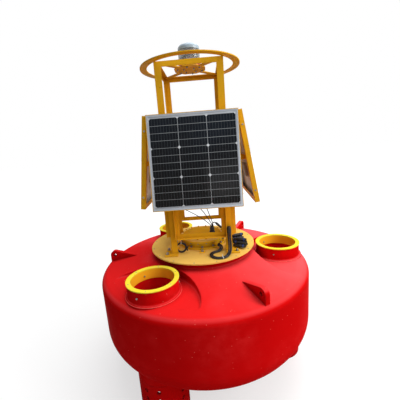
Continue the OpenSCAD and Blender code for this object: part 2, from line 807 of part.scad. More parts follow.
float_body();
guard_tube(0);  // guard_tube_1
guard_tube(1);  // guard_tube_2
guard_tube(2);  // guard_tube_3
well_ring(0);  // well_ring_1
well_ring(1);  // well_ring_2
well_ring(2);  // well_ring_3
base_plate();
hatch_drum();
hatch_lid();
battery_block();
mooring_plate();
post(1);  // post_1
post(2);  // post_2
post(3);  // post_3
post(4);  // post_4
carrier(1);  // carrier_1
carrier(2);  // carrier_2
carrier(3);  // carrier_3
carrier(4);  // carrier_4
top_frame();
lamp_cross();
top_ring();
lantern_base();
lantern_body();
lantern_core();
lantern_cap();
cradle(1);  // cradle_1
cradle(2);  // cradle_2
cradle(3);  // cradle_3
cradle(4);  // cradle_4
stay(1);  // stay_1
stay(2);  // stay_2
stay(3);  // stay_3
stay(4);  // stay_4
panel_rim(1);  // panel_rim_1
panel_rim(2);  // panel_rim_2
panel_rim(3);  // panel_rim_3
panel_rim(4);  // panel_rim_4
panel_glass(1);  // panel_glass_1
panel_glass(2);  // panel_glass_2
panel_glass(3);  // panel_glass_3
panel_glass(4);  // panel_glass_4
junction_box(1);  // junction_box_1
junction_box(2);  // junction_box_2
junction_box(3);  // junction_box_3
junction_box(4);  // junction_box_4
lid_gland();
side_gland();
post_plug();
sensor_plugs();
spare_coil();
panel_lead_1();
panel_lead_2();
panel_lead_3();
sensor_lead();
lead_coupler();
loop_cable();
loop_cable_2();
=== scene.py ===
import math

import bpy
from mathutils import Matrix, Vector


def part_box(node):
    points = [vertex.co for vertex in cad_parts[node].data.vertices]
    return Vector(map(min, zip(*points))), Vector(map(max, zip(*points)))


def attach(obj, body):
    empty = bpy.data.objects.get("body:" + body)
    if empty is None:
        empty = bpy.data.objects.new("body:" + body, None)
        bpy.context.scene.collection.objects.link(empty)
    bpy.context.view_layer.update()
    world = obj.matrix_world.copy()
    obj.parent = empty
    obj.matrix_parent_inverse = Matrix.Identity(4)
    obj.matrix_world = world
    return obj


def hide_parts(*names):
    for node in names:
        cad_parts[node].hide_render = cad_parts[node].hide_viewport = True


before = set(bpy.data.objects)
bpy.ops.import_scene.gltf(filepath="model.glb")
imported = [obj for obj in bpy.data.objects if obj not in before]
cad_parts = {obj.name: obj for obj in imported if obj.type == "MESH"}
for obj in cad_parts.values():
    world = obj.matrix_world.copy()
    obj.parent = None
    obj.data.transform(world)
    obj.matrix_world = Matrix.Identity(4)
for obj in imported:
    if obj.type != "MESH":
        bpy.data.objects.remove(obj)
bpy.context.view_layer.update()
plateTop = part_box("post_1")[0].z
print("frame loaded:", len(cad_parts), "nodes")


# small helpers for working as by hand

def deselectAll():
    if bpy.context.mode != "OBJECT":
        bpy.ops.object.mode_set(mode="OBJECT")
    bpy.ops.object.select_all(action="DESELECT")


def activate(piece):
    deselectAll()
    piece.select_set(True)
    bpy.context.view_layer.objects.active = piece


def applyPlace(piece):
    activate(piece)
    bpy.ops.object.transform_apply(location=True, rotation=True, scale=True)


def named(piece, name):
    piece.name = name
    piece.data.name = name
    return piece


def finishPiece(piece, slotName, material=None, sharpAt=30):
    # a piece that has no material yet takes the finish of its slot
    applyPlace(piece)
    bpy.ops.object.shade_smooth_by_angle(angle=math.radians(sharpAt))
    if not piece.data.materials:
        piece.data.materials.append(material or finishes[slotName])
    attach(piece, "root")
    return piece


def alongAxis(place, axis):
    # stands a piece that was modelled along +Z on a face that looks along the axis
    turn = Vector((0, 0, 1)).rotation_difference(Vector(axis)).to_matrix().to_4x4()
    return Matrix.Translation(place) @ turn


def copyTo(master, name, place):
    copy = master.copy()
    copy.data = master.data.copy()
    copy.data.transform(place)
    bpy.context.collection.objects.link(copy)
    return named(copy, name)


def joinPieces(pieces, name):
    deselectAll()
    for piece in pieces:
        piece.select_set(True)
    bpy.context.view_layer.objects.active = pieces[0]
    if len(pieces) > 1:
        bpy.ops.object.join()
    return named(bpy.context.object, name)


def copySet(master, name, places):
    copies = joinPieces([copyTo(master, name, place) for place in places], name)
    bpy.data.objects.remove(master)
    return copies


def placeSet(master, name, places, slotName, material=None):
    return finishPiece(copySet(master, name, places), slotName, material)


def around(count, radius, z, start=0.0):
    steps = [math.radians(start + 360 / count * i) for i in range(count)]
    return [(radius * math.cos(a), radius * math.sin(a), z) for a in steps]


def facing(points, axis=(0, 0, 1)):
    return [alongAxis(point, axis) for point in points]


corners = [(sx, sy) for sx in (-1, 1) for sy in (-1, 1)]


# turned pieces: a disc that is extruded and scaled step by step along +Z

def turnedPiece(name, steps, sides=24):
    radius, height = steps[0]
    deselectAll()
    bpy.ops.mesh.primitive_circle_add(
        vertices=sides, radius=radius, fill_type="NGON", location=(0, 0, height))
    piece = named(bpy.context.object, name)
    bpy.ops.object.mode_set(mode="EDIT")
    bpy.ops.mesh.select_all(action="SELECT")
    for wider, higher in steps[1:]:
        bpy.ops.mesh.extrude_region_move(TRANSFORM_OT_translate={"value": (0, 0, higher - height)})
        change = wider / radius
        bpy.ops.transform.resize(value=(change, change, 1), center_override=(0, 0, higher))
        radius, height = wider, higher
    bpy.ops.mesh.select_all(action="SELECT")
    bpy.ops.mesh.normals_make_consistent(inside=False)
    applyPlace(piece)
    return piece


# blocks with bevelled edges

def pickEdges(piece, wanted):
    activate(piece)
    bpy.ops.object.mode_set(mode="EDIT")
    bpy.ops.mesh.select_mode(type="EDGE")
    bpy.ops.mesh.select_all(action="DESELECT")
    bpy.ops.object.mode_set(mode="OBJECT")
    points = piece.data.vertices
    for edge in piece.data.edges:
        a, b = (points[i].co for i in edge.vertices)
        edge.select = wanted(a, b)
    bpy.ops.object.mode_set(mode="EDIT")


def modelBlock(size, centre, bevel, segments=2, wanted=lambda a, b: True):
    deselectAll()
    bpy.ops.mesh.primitive_cube_add(size=1, location=centre)
    block = bpy.context.object
    block.scale = size
    applyPlace(block)
    pickEdges(block, wanted)
    bpy.ops.mesh.bevel(offset=bevel, segments=segments, affect="EDGES")
    deselectAll()
    return block


# camera at the photograph's viewing angle

photoView = {
    "place": (0.0631, -1.7742, 1.5606),  # metres
    "yaw": -2.23,  # degrees, to the right of +Y
    "down": 11.42,
    "roll": -4.28,
    "lens": 23.34,  # millimetres
    "sensor": 36.0,
    "shift": (0.0038, -0.0087),
}


def addCamera():
    turn = (
        Matrix.Rotation(math.radians(-photoView["yaw"]), 3, "Z")
        @ Matrix.Rotation(math.radians(90 - photoView["down"]), 3, "X")
        @ Matrix.Rotation(math.radians(photoView["roll"]), 3, "Z")
    )
    deselectAll()
    bpy.ops.object.camera_add(location=photoView["place"], rotation=turn.to_euler())
    camera = bpy.context.object
    camera.name = "photoCamera"
    camera.data.sensor_width = photoView["sensor"]
    camera.data.lens = photoView["lens"]
    camera.data.shift_x, camera.data.shift_y = photoView["shift"]
    bpy.context.scene.camera = camera


addCamera()
print("camera placed")


# building shader nodes

def setInputs(tree, node, inputs):
    for key, value in inputs.items():
        if isinstance(value, bpy.types.NodeSocket):
            tree.links.new(value, node.inputs[key])
        else:
            node.inputs[key].default_value = value


def addNode(tree, kind, inputs=None, **settings):
    made = tree.nodes.new("ShaderNode" + kind)
    for key, value in settings.items():
        setattr(made, key, value)
    setInputs(tree, made, inputs or {})
    return made


def calc(tree, operation, a, b=0.0):
    return addNode(tree, "Math", {0: a, 1: b}, operation=operation).outputs[0]


def times(tree, a, b):
    return calc(tree, "MULTIPLY", a, b)


def remap(tree, value, fromLow, fromHigh, toLow=0.0, toHigh=1.0):
    sockets = {"Value": value, "From Min": fromLow, "From Max": fromHigh, "To Min": toLow, "To Max": toHigh}
    return addNode(tree, "MapRange", sockets).outputs[0]


def mixColour(tree, factor, a, b, blend="MIX"):
    made = addNode(tree, "Mix", {0: factor, 6: a, 7: b}, data_type="RGBA", blend_type=blend)
    return made.outputs[2]


def noise(tree, place, scale, detail=4.0, rough=0.55, twist=0.0):
    sockets = {"Vector": place, "Scale": scale, "Detail": detail, "Roughness": rough, "Distortion": twist}
    return addNode(tree, "TexNoise", sockets).outputs["Fac"]


def split(tree, vector):
    return addNode(tree, "SeparateXYZ", {0: vector}).outputs


def newGroup(name, inputs, outputs):
    group = bpy.data.node_groups.new(name, "ShaderNodeTree")
    for way, sockets in (("INPUT", inputs), ("OUTPUT", outputs)):
        for label, kind in sockets.items():
            group.interface.new_socket(label, in_out=way, socket_type="NodeSocket" + kind)
    take = group.nodes.new("NodeGroupInput").outputs[:len(inputs)]
    return group, take, group.nodes.new("NodeGroupOutput")


def useGroup(tree, group, *values):
    # the values stand in the order of the group's own inputs
    return addNode(tree, "Group", dict(enumerate(values)), node_tree=group).outputs


def makeWeathering():
    # broad stains and a slow drift of tone over a paint or a moulding
    group, (place, colour, stain, amount, size, drift), give = newGroup(
        "weathering",
        {"Position": "Vector", "Colour": "Color", "Stain": "Color",
         "Amount": "Float", "Size": "Float", "Drift": "Float"},
        {"Colour": "Color"})
    broad = noise(group, place, size, 6.0, 0.62)
    fine = noise(group, place, times(group, size, 7.0), 3.0)
    blotch = times(group, remap(group, broad, 0.46, 0.72), remap(group, fine, 0.3, 0.75))
    mask = times(group, blotch, amount)
    slow = noise(group, place, times(group, size, 0.4), 2.0)
    low = calc(group, "SUBTRACT", 1.0, drift)
    level = remap(group, slow, 0.3, 0.7, low, 1.0)
    shade = addNode(group, "CombineColor", {0: level, 1: level, 2: level}).outputs[0]
    toned = mixColour(group, 1.0, colour, shade, "MULTIPLY")
    setInputs(group, give, {"Colour": mixColour(group, mask, toned, stain)})
    return group


def makeSpecks():
    # small separate dots of dust, chips or grit
    group, (place, colour, speck, size, share), give = newGroup(
        "specks",
        {"Position": "Vector", "Colour": "Color", "Speck": "Color", "Size": "Float", "Share": "Float"},
        {"Colour": "Color"})
    grains = addNode(group, "TexVoronoi", {"Vector": place, "Scale": size}).outputs
    chance = addNode(group, "SeparateColor", {0: grains["Color"]}).outputs[0]
    chosen = calc(group, "LESS_THAN", chance, share)
    mask = times(group, remap(group, grains["Distance"], 0.34, 0.2), chosen)
    setInputs(group, give, {"Colour": mixColour(group, mask, colour, speck)})
    return group


def makeEdgeRub():
    # where corners are handled: a mask along edges, and their rounded normal
    group, (place, radius, amount, size), give = newGroup(
        "edgeRub",
        {"Position": "Vector", "Radius": "Float", "Amount": "Float", "Size": "Float"},
        {"Mask": "Float", "Normal": "Vector"})
    rounded = addNode(group, "Bevel", {"Radius": radius}, samples=6).outputs[0]
    flat = addNode(group, "NewGeometry").outputs["Normal"]
    match = addNode(group, "VectorMath", {0: rounded, 1: flat}, operation="DOT_PRODUCT").outputs["Value"]
    edge = remap(group, match, 0.985, 0.8)
    broken = remap(group, noise(group, place, size, 5.0), 0.42, 0.62)
    rub = times(group, times(group, edge, broken), amount)
    setInputs(group, give, {"Mask": rub, "Normal": rounded})
    return group


def makePaintedCornerShade():
    # painted shade: colour darkened by ambient occlusion where two faces meet
    group, (colour, grimeAndShade, reach, amount), give = newGroup(
        "paintedCornerShade",
        {"Colour": "Color", "Grime": "Color", "Reach": "Float", "Amount": "Float"},
        {"Colour": "Color"})
    openness = addNode(group, "AmbientOcclusion", {"Distance": reach}, samples=8).outputs["AO"]
    mask = times(group, remap(group, openness, 0.85, 0.25), amount)
    setInputs(group, give, {"Colour": mixColour(group, mask, colour, grimeAndShade)})
    return group


weathering = makeWeathering()
specks = makeSpecks()
edgeRub = makeEdgeRub()
paintedCornerShade = makePaintedCornerShade()


def patchy(tree, place, scale, detail, low, high):
    return remap(tree, noise(tree, place, scale, detail), 0.3, 0.7, low, high)


def stretched(tree, place, tall):
    return addNode(tree, "Mapping", {"Vector": place, "Scale": (1.0, 1.0, tall)}).outputs[0]


def addBump(tree, height, depth, strength, normal=None):
    sockets = {"Height": height, "Distance": depth, "Strength": strength}
    if normal is not None:
        sockets["Normal"] = normal
    return addNode(tree, "Bump", sockets).outputs[0]


def newMaterial(name):
    material = bpy.data.materials.new(name)
    material.use_nodes = True
    tree = material.node_tree
    place = addNode(tree, "TexCoord").outputs["Object"]
    return material, tree, tree.nodes["Principled BSDF"], place


redShell = {
    "colour": (0.68, 0.0035, 0.004, 1),
    "faded": (0.84, 0.03, 0.03, 1),
    "stains": (0.55, 2.6, 0.1),  # amount, size and drift of tone
    "upwardSheen": (0.8, 0.016, 0.017, 1),  # painted sheen: paler red on faces that look up
    "brightestSheen": (0.92, 0.1, 0.11, 1),  # where the painted sheen is brightest, also used for the rim highlight
    "sheenSide": (0.77, 0.63, 0),
    "sheenFrom": -0.36,  # metres along that way, where the painted sheen begins
    "sheenFull": 0.5,
    "rimHighlightShare": 0.24,  # of the brightest sheen, painted as a highlight along the rounded rim
    # painted shade in corners and under overhangs: its colour and how far it reaches
    "corner": (0.2, 0.002, 0.002, 1),
    "cornerReach": 0.07,
    # paler red of the weld beads, partly a painted highlight along them
    "beadPaleAndHighlight": (1.0, 0.15, 0.13, 1),
    "softEdge": 0.012,
    "thinEdge": 0.0006,
    "grit": ((0.8, 0.16, 0.13, 1), 150.0, 0.008),  # colour, size and share
}


def makeRedShell(name, colour, cornerGrime, edge):
    material, tree, shader, place = newMaterial(name)
    base = useGroup(tree, weathering, place, colour, redShell["faded"], *redShell["stains"])[0]
    rub = useGroup(tree, edgeRub, place, edge, 0.5, 22.0)
    # painted sheen: faces that look up turn paler red, most towards the back right
    up = split(tree, addNode(tree, "NewGeometry").outputs["Normal"])[2]
    along = addNode(tree, "VectorMath", {0: place, 1: redShell["sheenSide"]}, operation="DOT_PRODUCT")
    reach = calc(tree, "ADD", along.outputs["Value"], patchy(tree, place, 4.0, 4.0, -0.12, 0.12))
    sheenMask = remap(tree, reach, redShell["sheenFrom"], redShell["sheenFull"])
    sheenColour = mixColour(tree, sheenMask, redShell["upwardSheen"], redShell["brightestSheen"])
    sheened = mixColour(tree, remap(tree, up, 0.55, 0.98), base, sheenColour)
    # painted highlight on the rounded rim and on other fillets
    rimBand = times(tree, remap(tree, up, 0.4, 0.66), remap(tree, up, 0.94, 0.8))
    rimHighlightMask = times(tree, rimBand, redShell["rimHighlightShare"])
    rimHighlighted = mixColour(tree, rimHighlightMask, sheened, redShell["brightestSheen"])
    worn = mixColour(tree, rub["Mask"], rimHighlighted, redShell["faded"])
    # painted shade in corners and under the base plate's overhang
    cornerShaded = useGroup(tree, paintedCornerShade, worn, redShell["corner"], redShell["cornerReach"], cornerGrime)[0]
    dotted = useGroup(tree, specks, place, cornerShaded, *redShell["grit"])[0]
    # soft flow lines of the moulding, under a fine peel
    flow = noise(tree, stretched(tree, place, 5.0), 7.0, 3.0, 0.5, 1.2)
    peel = noise(tree, place, 420.0, 2.0)
    height = calc(tree, "ADD", times(tree, flow, 2.0), times(tree, peel, 0.35))
    setInputs(tree, shader, {
        "Base Color": dotted,
        "Roughness": patchy(tree, place, 5.0, 5.0, 0.42, 0.58),
        "Specular IOR Level": 0.001,
        "Normal": addBump(tree, height, 0.0015, 0.35, rub["Normal"]),
    })
    return material


ringPaint = {
    "colour": (0.96, 0.79, 0.05, 1),
    "grimeAndShade": (0.5, 0.22, 0.02, 1),
    "chip": (0.95, 0.85, 0.45, 1),
    "shade": (1.0, 0.46, 0.02, 1),  # painted shade and red bounce light inside the sleeve
    "shadeFrom": 0.8445,  # metres, height where it begins
    "shadeFull": 0.836,
    "gloss": 0.32,
    "stains": 0.25,
    "grit": (120.0, 0.01),  # size and share
}
platePaint = {
    "colour": (1.0, 0.64, 0.14, 1),
    "grimeAndShade": (0.62, 0.33, 0.06, 1),
    "chip": (0.3, 0.17, 0.05, 1),
    "shade": (0.92, 0.5, 0.02, 1),  # the fresher paint on the tabs
    "shadeFrom": 0.8705,
    "shadeFull": 0.8725,
    "gloss": 0.42,
    "stains": 0.45,
    "grit": (150.0, 0.05),
}
towerPaint = {
    "colour": (0.93, 0.49, 0.02, 1),
    "grimeAndShade": (0.42, 0.17, 0.006, 1),
    "chip": (0.9, 0.6, 0.12, 1),
    "gloss": 0.3,
    "stains": 0.55,
    "grit": (110.0, 0.015),
}
# the tower paint made lighter on the drum: painted light where the lid shades it
litDrumPaint = {**towerPaint, "colour": (1.0, 0.64, 0.035, 1), "stains": 0.4}
lidPaint = {
    **towerPaint,
    "stains": 0.5,
    "rim": (1.0, 0.7, 0.2, 1),  # painted highlight, a paler band along the edge as if a raised rim caught the light
    "rimHighlightFrom": 0.133,  # metres, distance from the middle where it begins
    "rimHighlightFull": 0.136,
}


def makePaint(name, paint):
    material, tree, shader, place = newMaterial(name)
    base = useGroup(
        tree, weathering, place, paint["colour"], paint["grimeAndShade"], paint["stains"], 5.5, 0.14)[0]
    rub = useGroup(tree, edgeRub, place, 0.0025, 0.7, 60.0)
    worn = mixColour(tree, rub["Mask"], base, paint["chip"])
    colour = useGroup(tree, specks, place, worn, paint["grimeAndShade"], *paint["grit"])[0]
    # a second colour below a height: painted shade and red bounce light in the ring sleeves, fresher paint
    # on the plate's tabs
    if "shade" in paint:
        height = split(tree, place)[2]
        shaded = remap(tree, height, paint["shadeFrom"], paint["shadeFull"])
        colour = mixColour(tree, shaded, colour, paint["shade"])
    # painted highlight: a paler band round the lid's edge
    if "rim" in paint:
        across = addNode(tree, "VectorMath", {0: place, 1: (1, 1, 0)}, operation="MULTIPLY").outputs[0]
        away = addNode(tree, "VectorMath", {0: across}, operation="LENGTH").outputs["Value"]
        band = remap(tree, away, paint["rimHighlightFrom"], paint["rimHighlightFull"])
        colour = mixColour(tree, band, colour, paint["rim"])
    # the base colour takes painted shade in corners, in the grime colour
    setInputs(tree, shader, {
        "Base Color": useGroup(tree, paintedCornerShade, colour, paint["grimeAndShade"], 0.035, 0.5)[0],
        "Roughness": patchy(tree, place, 9.0, 5.0, paint["gloss"], paint["gloss"] + 0.16),
        "Specular IOR Level": 0.006,
        "Normal": addBump(tree, noise(tree, place, 130.0, 3.0), 0.0006, 0.3, rub["Normal"]),
    })
    return material


anodised = {
    "colour": (0.36, 0.385, 0.42, 1),
    "stain": (0.22, 0.235, 0.26, 1),
    "edge": (0.55, 0.57, 0.6, 1),
}


def makeAluminium():
    material, tree, shader, place = newMaterial("anodisedRim")
    lines = noise(tree, stretched(tree, place, 40.0), 14.0, 4.0)
    base = useGroup(tree, weathering, place, anodised["colour"], anodised["stain"], 0.5, 9.0, 0.12)[0]
    rub = useGroup(tree, edgeRub, place, 0.0015, 0.6, 90.0)
    setInputs(tree, shader, {
        "Base Color": mixColour(tree, rub["Mask"], base, anodised["edge"]),
        "Roughness": remap(tree, lines, 0.3, 0.7, 0.3, 0.46),
        "Metallic": 0.75,
        "Normal": addBump(tree, lines, 0.0004, 0.25, rub["Normal"]),
    })
    return material


cells = {
    "glass": (0.5064, 0.5344),  # metres, the whole pane with the edges under the rim
    "pitch": (0.161, 0.166),
    "strips": 4,
    "busbars": 10,
    "cellsBelowSkyReflection": (0.0026, 0.0017, 0.0013, 1),  # warm black cells, at the foot of a painted sky reflection
    "cellsWithSkyReflection": (0.0036, 0.007, 0.0125, 1),  # painted sky reflection, bluer towards the top
    "busbar": (0.1, 0.108, 0.118, 1),
    "strip": (0.26, 0.28, 0.29, 1),
    "gap": (0.36, 0.38, 0.4, 1),
    "diamond": (0.72, 0.75, 0.78, 1),
    "margin": (0.5, 0.53, 0.57, 1),
    "dust": (0.05, 0.05, 0.05, 1),
}


def makeSolarCells():
    # monocrystalline cells cut in quarters, on the piece's own UV map
    material, tree, shader, place = newMaterial("solarCells")
    uv = split(tree, addNode(tree, "TexCoord").outputs["UV"])

    def cellPlace(axis):
        metres = times(tree, calc(tree, "SUBTRACT", uv[axis], 0.5), cells["glass"][axis])
        return calc(tree, "ADD", calc(tree, "DIVIDE", metres, cells["pitch"][axis]), 1.5)

    def toBoundary(value, repeats=1.0):
        # share of a cell between this point and the nearest line of the grid
        cut = calc(tree, "FRACT", times(tree, value, repeats))
        return calc(tree, "DIVIDE", calc(tree, "MINIMUM", cut, calc(tree, "SUBTRACT", 1.0, cut)), repeats)

    def withinGrid(value):
        return calc(tree, "LESS_THAN", calc(tree, "ABSOLUTE", calc(tree, "SUBTRACT", value, 1.5)), 1.5)

    column, row = cellPlace(0), cellPlace(1)
    dx, dy = toBoundary(column), toBoundary(row)
    inside = times(tree, withinGrid(column), withinGrid(row))
    # painted sky reflection: the cells turn bluer towards the top of the pane
    uneven = remap(tree, noise(tree, place, 3.0, 2.0), 0.35, 0.65, -0.25, 0.25)
    tone = remap(tree, calc(tree, "ADD", uv[1], uneven), 0.1, 1.0)
    face = mixColour(tree, tone, cells["cellsBelowSkyReflection"], cells["cellsWithSkyReflection"])
    marks = [
        ("busbar", remap(tree, toBoundary(column, cells["busbars"]), 0.0035, 0.0022)),
        ("strip", remap(tree, toBoundary(row, cells["strips"]), 0.0085, 0.0065)),
        ("gap", remap(tree, dx, 0.0095, 0.0075)),
        ("diamond", remap(tree, calc(tree, "ADD", dx, dy), 0.062, 0.055)),
        ("margin", calc(tree, "SUBTRACT", 1.0, inside)),
    ]
    for mark, mask in marks:
        face = mixColour(tree, mask, face, cells[mark])
    setInputs(tree, shader, {
        "Base Color": useGroup(tree, weathering, place, face, cells["dust"], 0.12, 7.0, 0.04)[0],
        "Roughness": patchy(tree, place, 18.0, 4.0, 0.06, 0.16),
        "Specular IOR Level": 0.1,
    })
    return material


sheet = {"colour": (0.72, 0.66, 0.62, 1), "stain": (0.45, 0.36, 0.3, 1)}


def makeBacksheet():
    material, tree, shader, place = newMaterial("panelBacksheet")
    setInputs(tree, shader, {
        "Base Color": useGroup(tree, weathering, place, sheet["colour"], sheet["stain"], 0.5, 6.0, 0.15)[0],
        "Roughness": patchy(tree, place, 30.0, 4.0, 0.45, 0.65),
        "Normal": addBump(tree, noise(tree, place, 55.0, 2.0), 0.0006, 0.25),
    })
    return material


moulding = {"dust": (0.09, 0.085, 0.08, 1), "grit": (0.2, 0.18, 0.15, 1)}


def makeDarkMoulding(name, colour, gloss, grainSize):
    material, tree, shader, place = newMaterial(name)
    base = useGroup(tree, weathering, place, colour, moulding["dust"], 0.35, 24.0, 0.2)[0]
    setInputs(tree, shader, {
        "Base Color": useGroup(tree, specks, place, base, moulding["grit"], 180.0, 0.03)[0],
        "Roughness": patchy(tree, place, 60.0, 4.0, gloss, gloss + 0.18),
        "Specular IOR Level": 0.4,
        "Normal": addBump(tree, noise(tree, place, grainSize, 2.0), 0.0004, 0.35),
    })
    return material


zinc = {"colour": (0.36, 0.33, 0.28, 1), "stain": (0.13, 0.09, 0.055, 1)}


def makeSteel():
    material, tree, shader, place = newMaterial("zincSteel")
    spangle = addNode(tree, "TexVoronoi", {"Vector": place, "Scale": 260.0}).outputs["Distance"]
    setInputs(tree, shader, {
        "Base Color": useGroup(tree, weathering, place, zinc["colour"], zinc["stain"], 0.8, 40.0, 0.2)[0],
        "Roughness": remap(tree, spangle, 0.0, 0.6, 0.32, 0.5),
        "Metallic": 0.85,
        "Normal": addBump(tree, spangle, 0.0003, 0.2),
    })
    return material


def makeTinted(name, colour, stain, gloss, transmission=0.0):
    material, tree, shader, place = newMaterial(name)
    ripple = noise(tree, stretched(tree, place, 6.0), 40.0, 2.0)
    setInputs(tree, shader, {
        "Base Color": useGroup(tree, weathering, place, colour, stain, 0.4, 18.0, 0.1)[0],
        "Roughness": patchy(tree, place, 35.0, 4.0, gloss, gloss + 0.12),
        "Transmission Weight": transmission,
        "Normal": addBump(tree, ripple, 0.0005, 0.3),
    })
    return material


finishes = {
    "float_red": makeRedShell("redMouldedShell", redShell["colour"], 0.85, redShell["softEdge"]),
    "beadHighlightShell": makeRedShell("beadHighlightShell", redShell["beadPaleAndHighlight"], 0.1, redShell["thinEdge"]),
    "ring_yellow": makePaint("ringPaint", ringPaint),
    "plate_yellow": makePaint("platePaint", platePaint),
    "tower_yellow": makePaint("towerPaint", towerPaint),
    "hatchDrum": makePaint("litDrumPaint", litDrumPaint),
    "hatchLid": makePaint("lidPaint", lidPaint),
    "panel_rim": makeAluminium(),
    "panel_face": makeSolarCells(),
    "backsheet": makeBacksheet(),
    "black_plastic": makeDarkMoulding("blackMoulding", (0.012, 0.012, 0.013, 1), 0.36, 500.0),
    "cable": makeDarkMoulding("cableJacket", (0.008, 0.008, 0.009, 1), 0.4, 900.0),
    "boxMoulding": makeDarkMoulding("boxMoulding", (0.3, 0.26, 0.22, 1), 0.4, 400.0),
    "blueMoulding": makeDarkMoulding("blueMoulding", (0.02, 0.06, 0.3, 1), 0.3, 500.0),
    "paleMoulding": makeTinted("paleMoulding", (0.78, 0.79, 0.78, 1), (0.5, 0.48, 0.44, 1), 0.35),
    "lantern_red": makeTinted("lanternRed", (0.5, 0.012, 0.02, 1), (0.25, 0.01, 0.01, 1), 0.2),
    "lantern_clear": makeTinted("lanternClear", (0.62, 0.67, 0.7, 1), (0.4, 0.42, 0.43, 1), 0.06, 0.85),
    "lantern_cap": makeTinted("lanternCap", (0.34, 0.45, 0.55, 1), (0.16, 0.19, 0.22, 1), 0.12),
    "lantern_dark": makeDarkMoulding("lanternCore", (0.02, 0.022, 0.025, 1), 0.3, 400.0),
    "steel": makeSteel(),
    "battery": makeDarkMoulding("batteryCase", (0.03, 0.03, 0.035, 1), 0.45, 400.0),
}
print("materials made:", len(finishes))


# the carried-over solids take the finish of their own slot

nodeFinish = {
    "float_red": ["float_body"] + [f"guard_tube_{k}" for k in (1, 2, 3)],
    "ring_yellow": [f"well_ring_{k}" for k in (1, 2, 3)],
    "plate_yellow": ["base_plate"],
    "tower_yellow": (
        ["top_frame", "lamp_cross", "top_ring"]
        + [f"{kind}_{k}" for kind in ("post", "carrier", "cradle", "stay") for k in (1, 2, 3, 4)]),
    "hatchDrum": ["hatch_drum", "side_gland"],
    "hatchLid": ["hatch_lid"],
    "panel_rim": [f"panel_rim_{k}" for k in (1, 2, 3, 4)],
    "lantern_red": ["lantern_base"],
    "lantern_clear": ["lantern_body"],
    "lantern_cap": ["lantern_cap"],
    "lantern_dark": ["lantern_core"],
    "steel": ["mooring_plate"],
    "battery": ["battery_block"],
}
for slotName, nodeNames in nodeFinish.items():
    for nodeName in nodeNames:
        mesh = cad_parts[nodeName].data
        mesh.materials.clear()
        mesh.materials.append(finishes[slotName])
print("solids finished:", sum(map(len, nodeFinish.values())))


# cords at their real length, along the routes of the model

spareCoil = {
    "middle": (-0.134, -0.1847, 0.9083),
    "radius": 0.030,
    "spread": 0.00375,  # from the middle of the bundle to each of its strands
    "turns": 4,
    "pointsPerTurn": 16,
}


def coilRoute():
    # the strands wind about each other by a quarter turn for each turn of the coil
    route = []
    for i in range(spareCoil["turns"] * spareCoil["pointsPerTurn"]):
        turn = 2 * math.pi * i / spareCoil["pointsPerTurn"]
        wind = turn / spareCoil["turns"]
        reach = spareCoil["radius"] + spareCoil["spread"] * math.cos(wind)
        side = spareCoil["spread"] * math.sin(wind)
        step = Vector((reach * math.cos(turn), side, reach * math.sin(turn)))
        route.append(tuple(Vector(spareCoil["middle"]) + step))
    return route


frontRun = [  # y and z of the two leads of the front panel
    (-0.318, 1.3285), (-0.318, 1.314), (-0.315, 1.288), (-0.307, 1.262), (-0.293, 1.236), (-0.276, 1.213),
    (-0.254, 1.192), (-0.231, 1.173), (-0.206, 1.153), (-0.180, 1.132), (-0.150, 1.108), (-0.120, 1.084),
    (-0.092, 1.061), (-0.066, 1.040), (-0.046, 1.024), (-0.029, 1.010), (-0.017, 0.997), (-0.012, 0.9825)]


def frontLead(*across):
    return [(x, y, z) for x, (y, z) in zip(across, frontRun)]


loopRise = [  # heights along both strands of the loop
    0.897, 0.897, 0.894, 0.888, 0.882, 0.8775, *[0.876] * 9,
    0.8775, 0.882, 0.890, 0.905, 0.926, 0.948, 0.972, 0.996]


def loopStrand(*points):
    return [(x, y, z) for (x, y), z in zip(points, loopRise)]


def cordSpec(node, diameter, length, lay, route, far="object"):
    return {"node": node, "diameter": diameter, "length": length, "lay": lay, "route": route, "far": far}


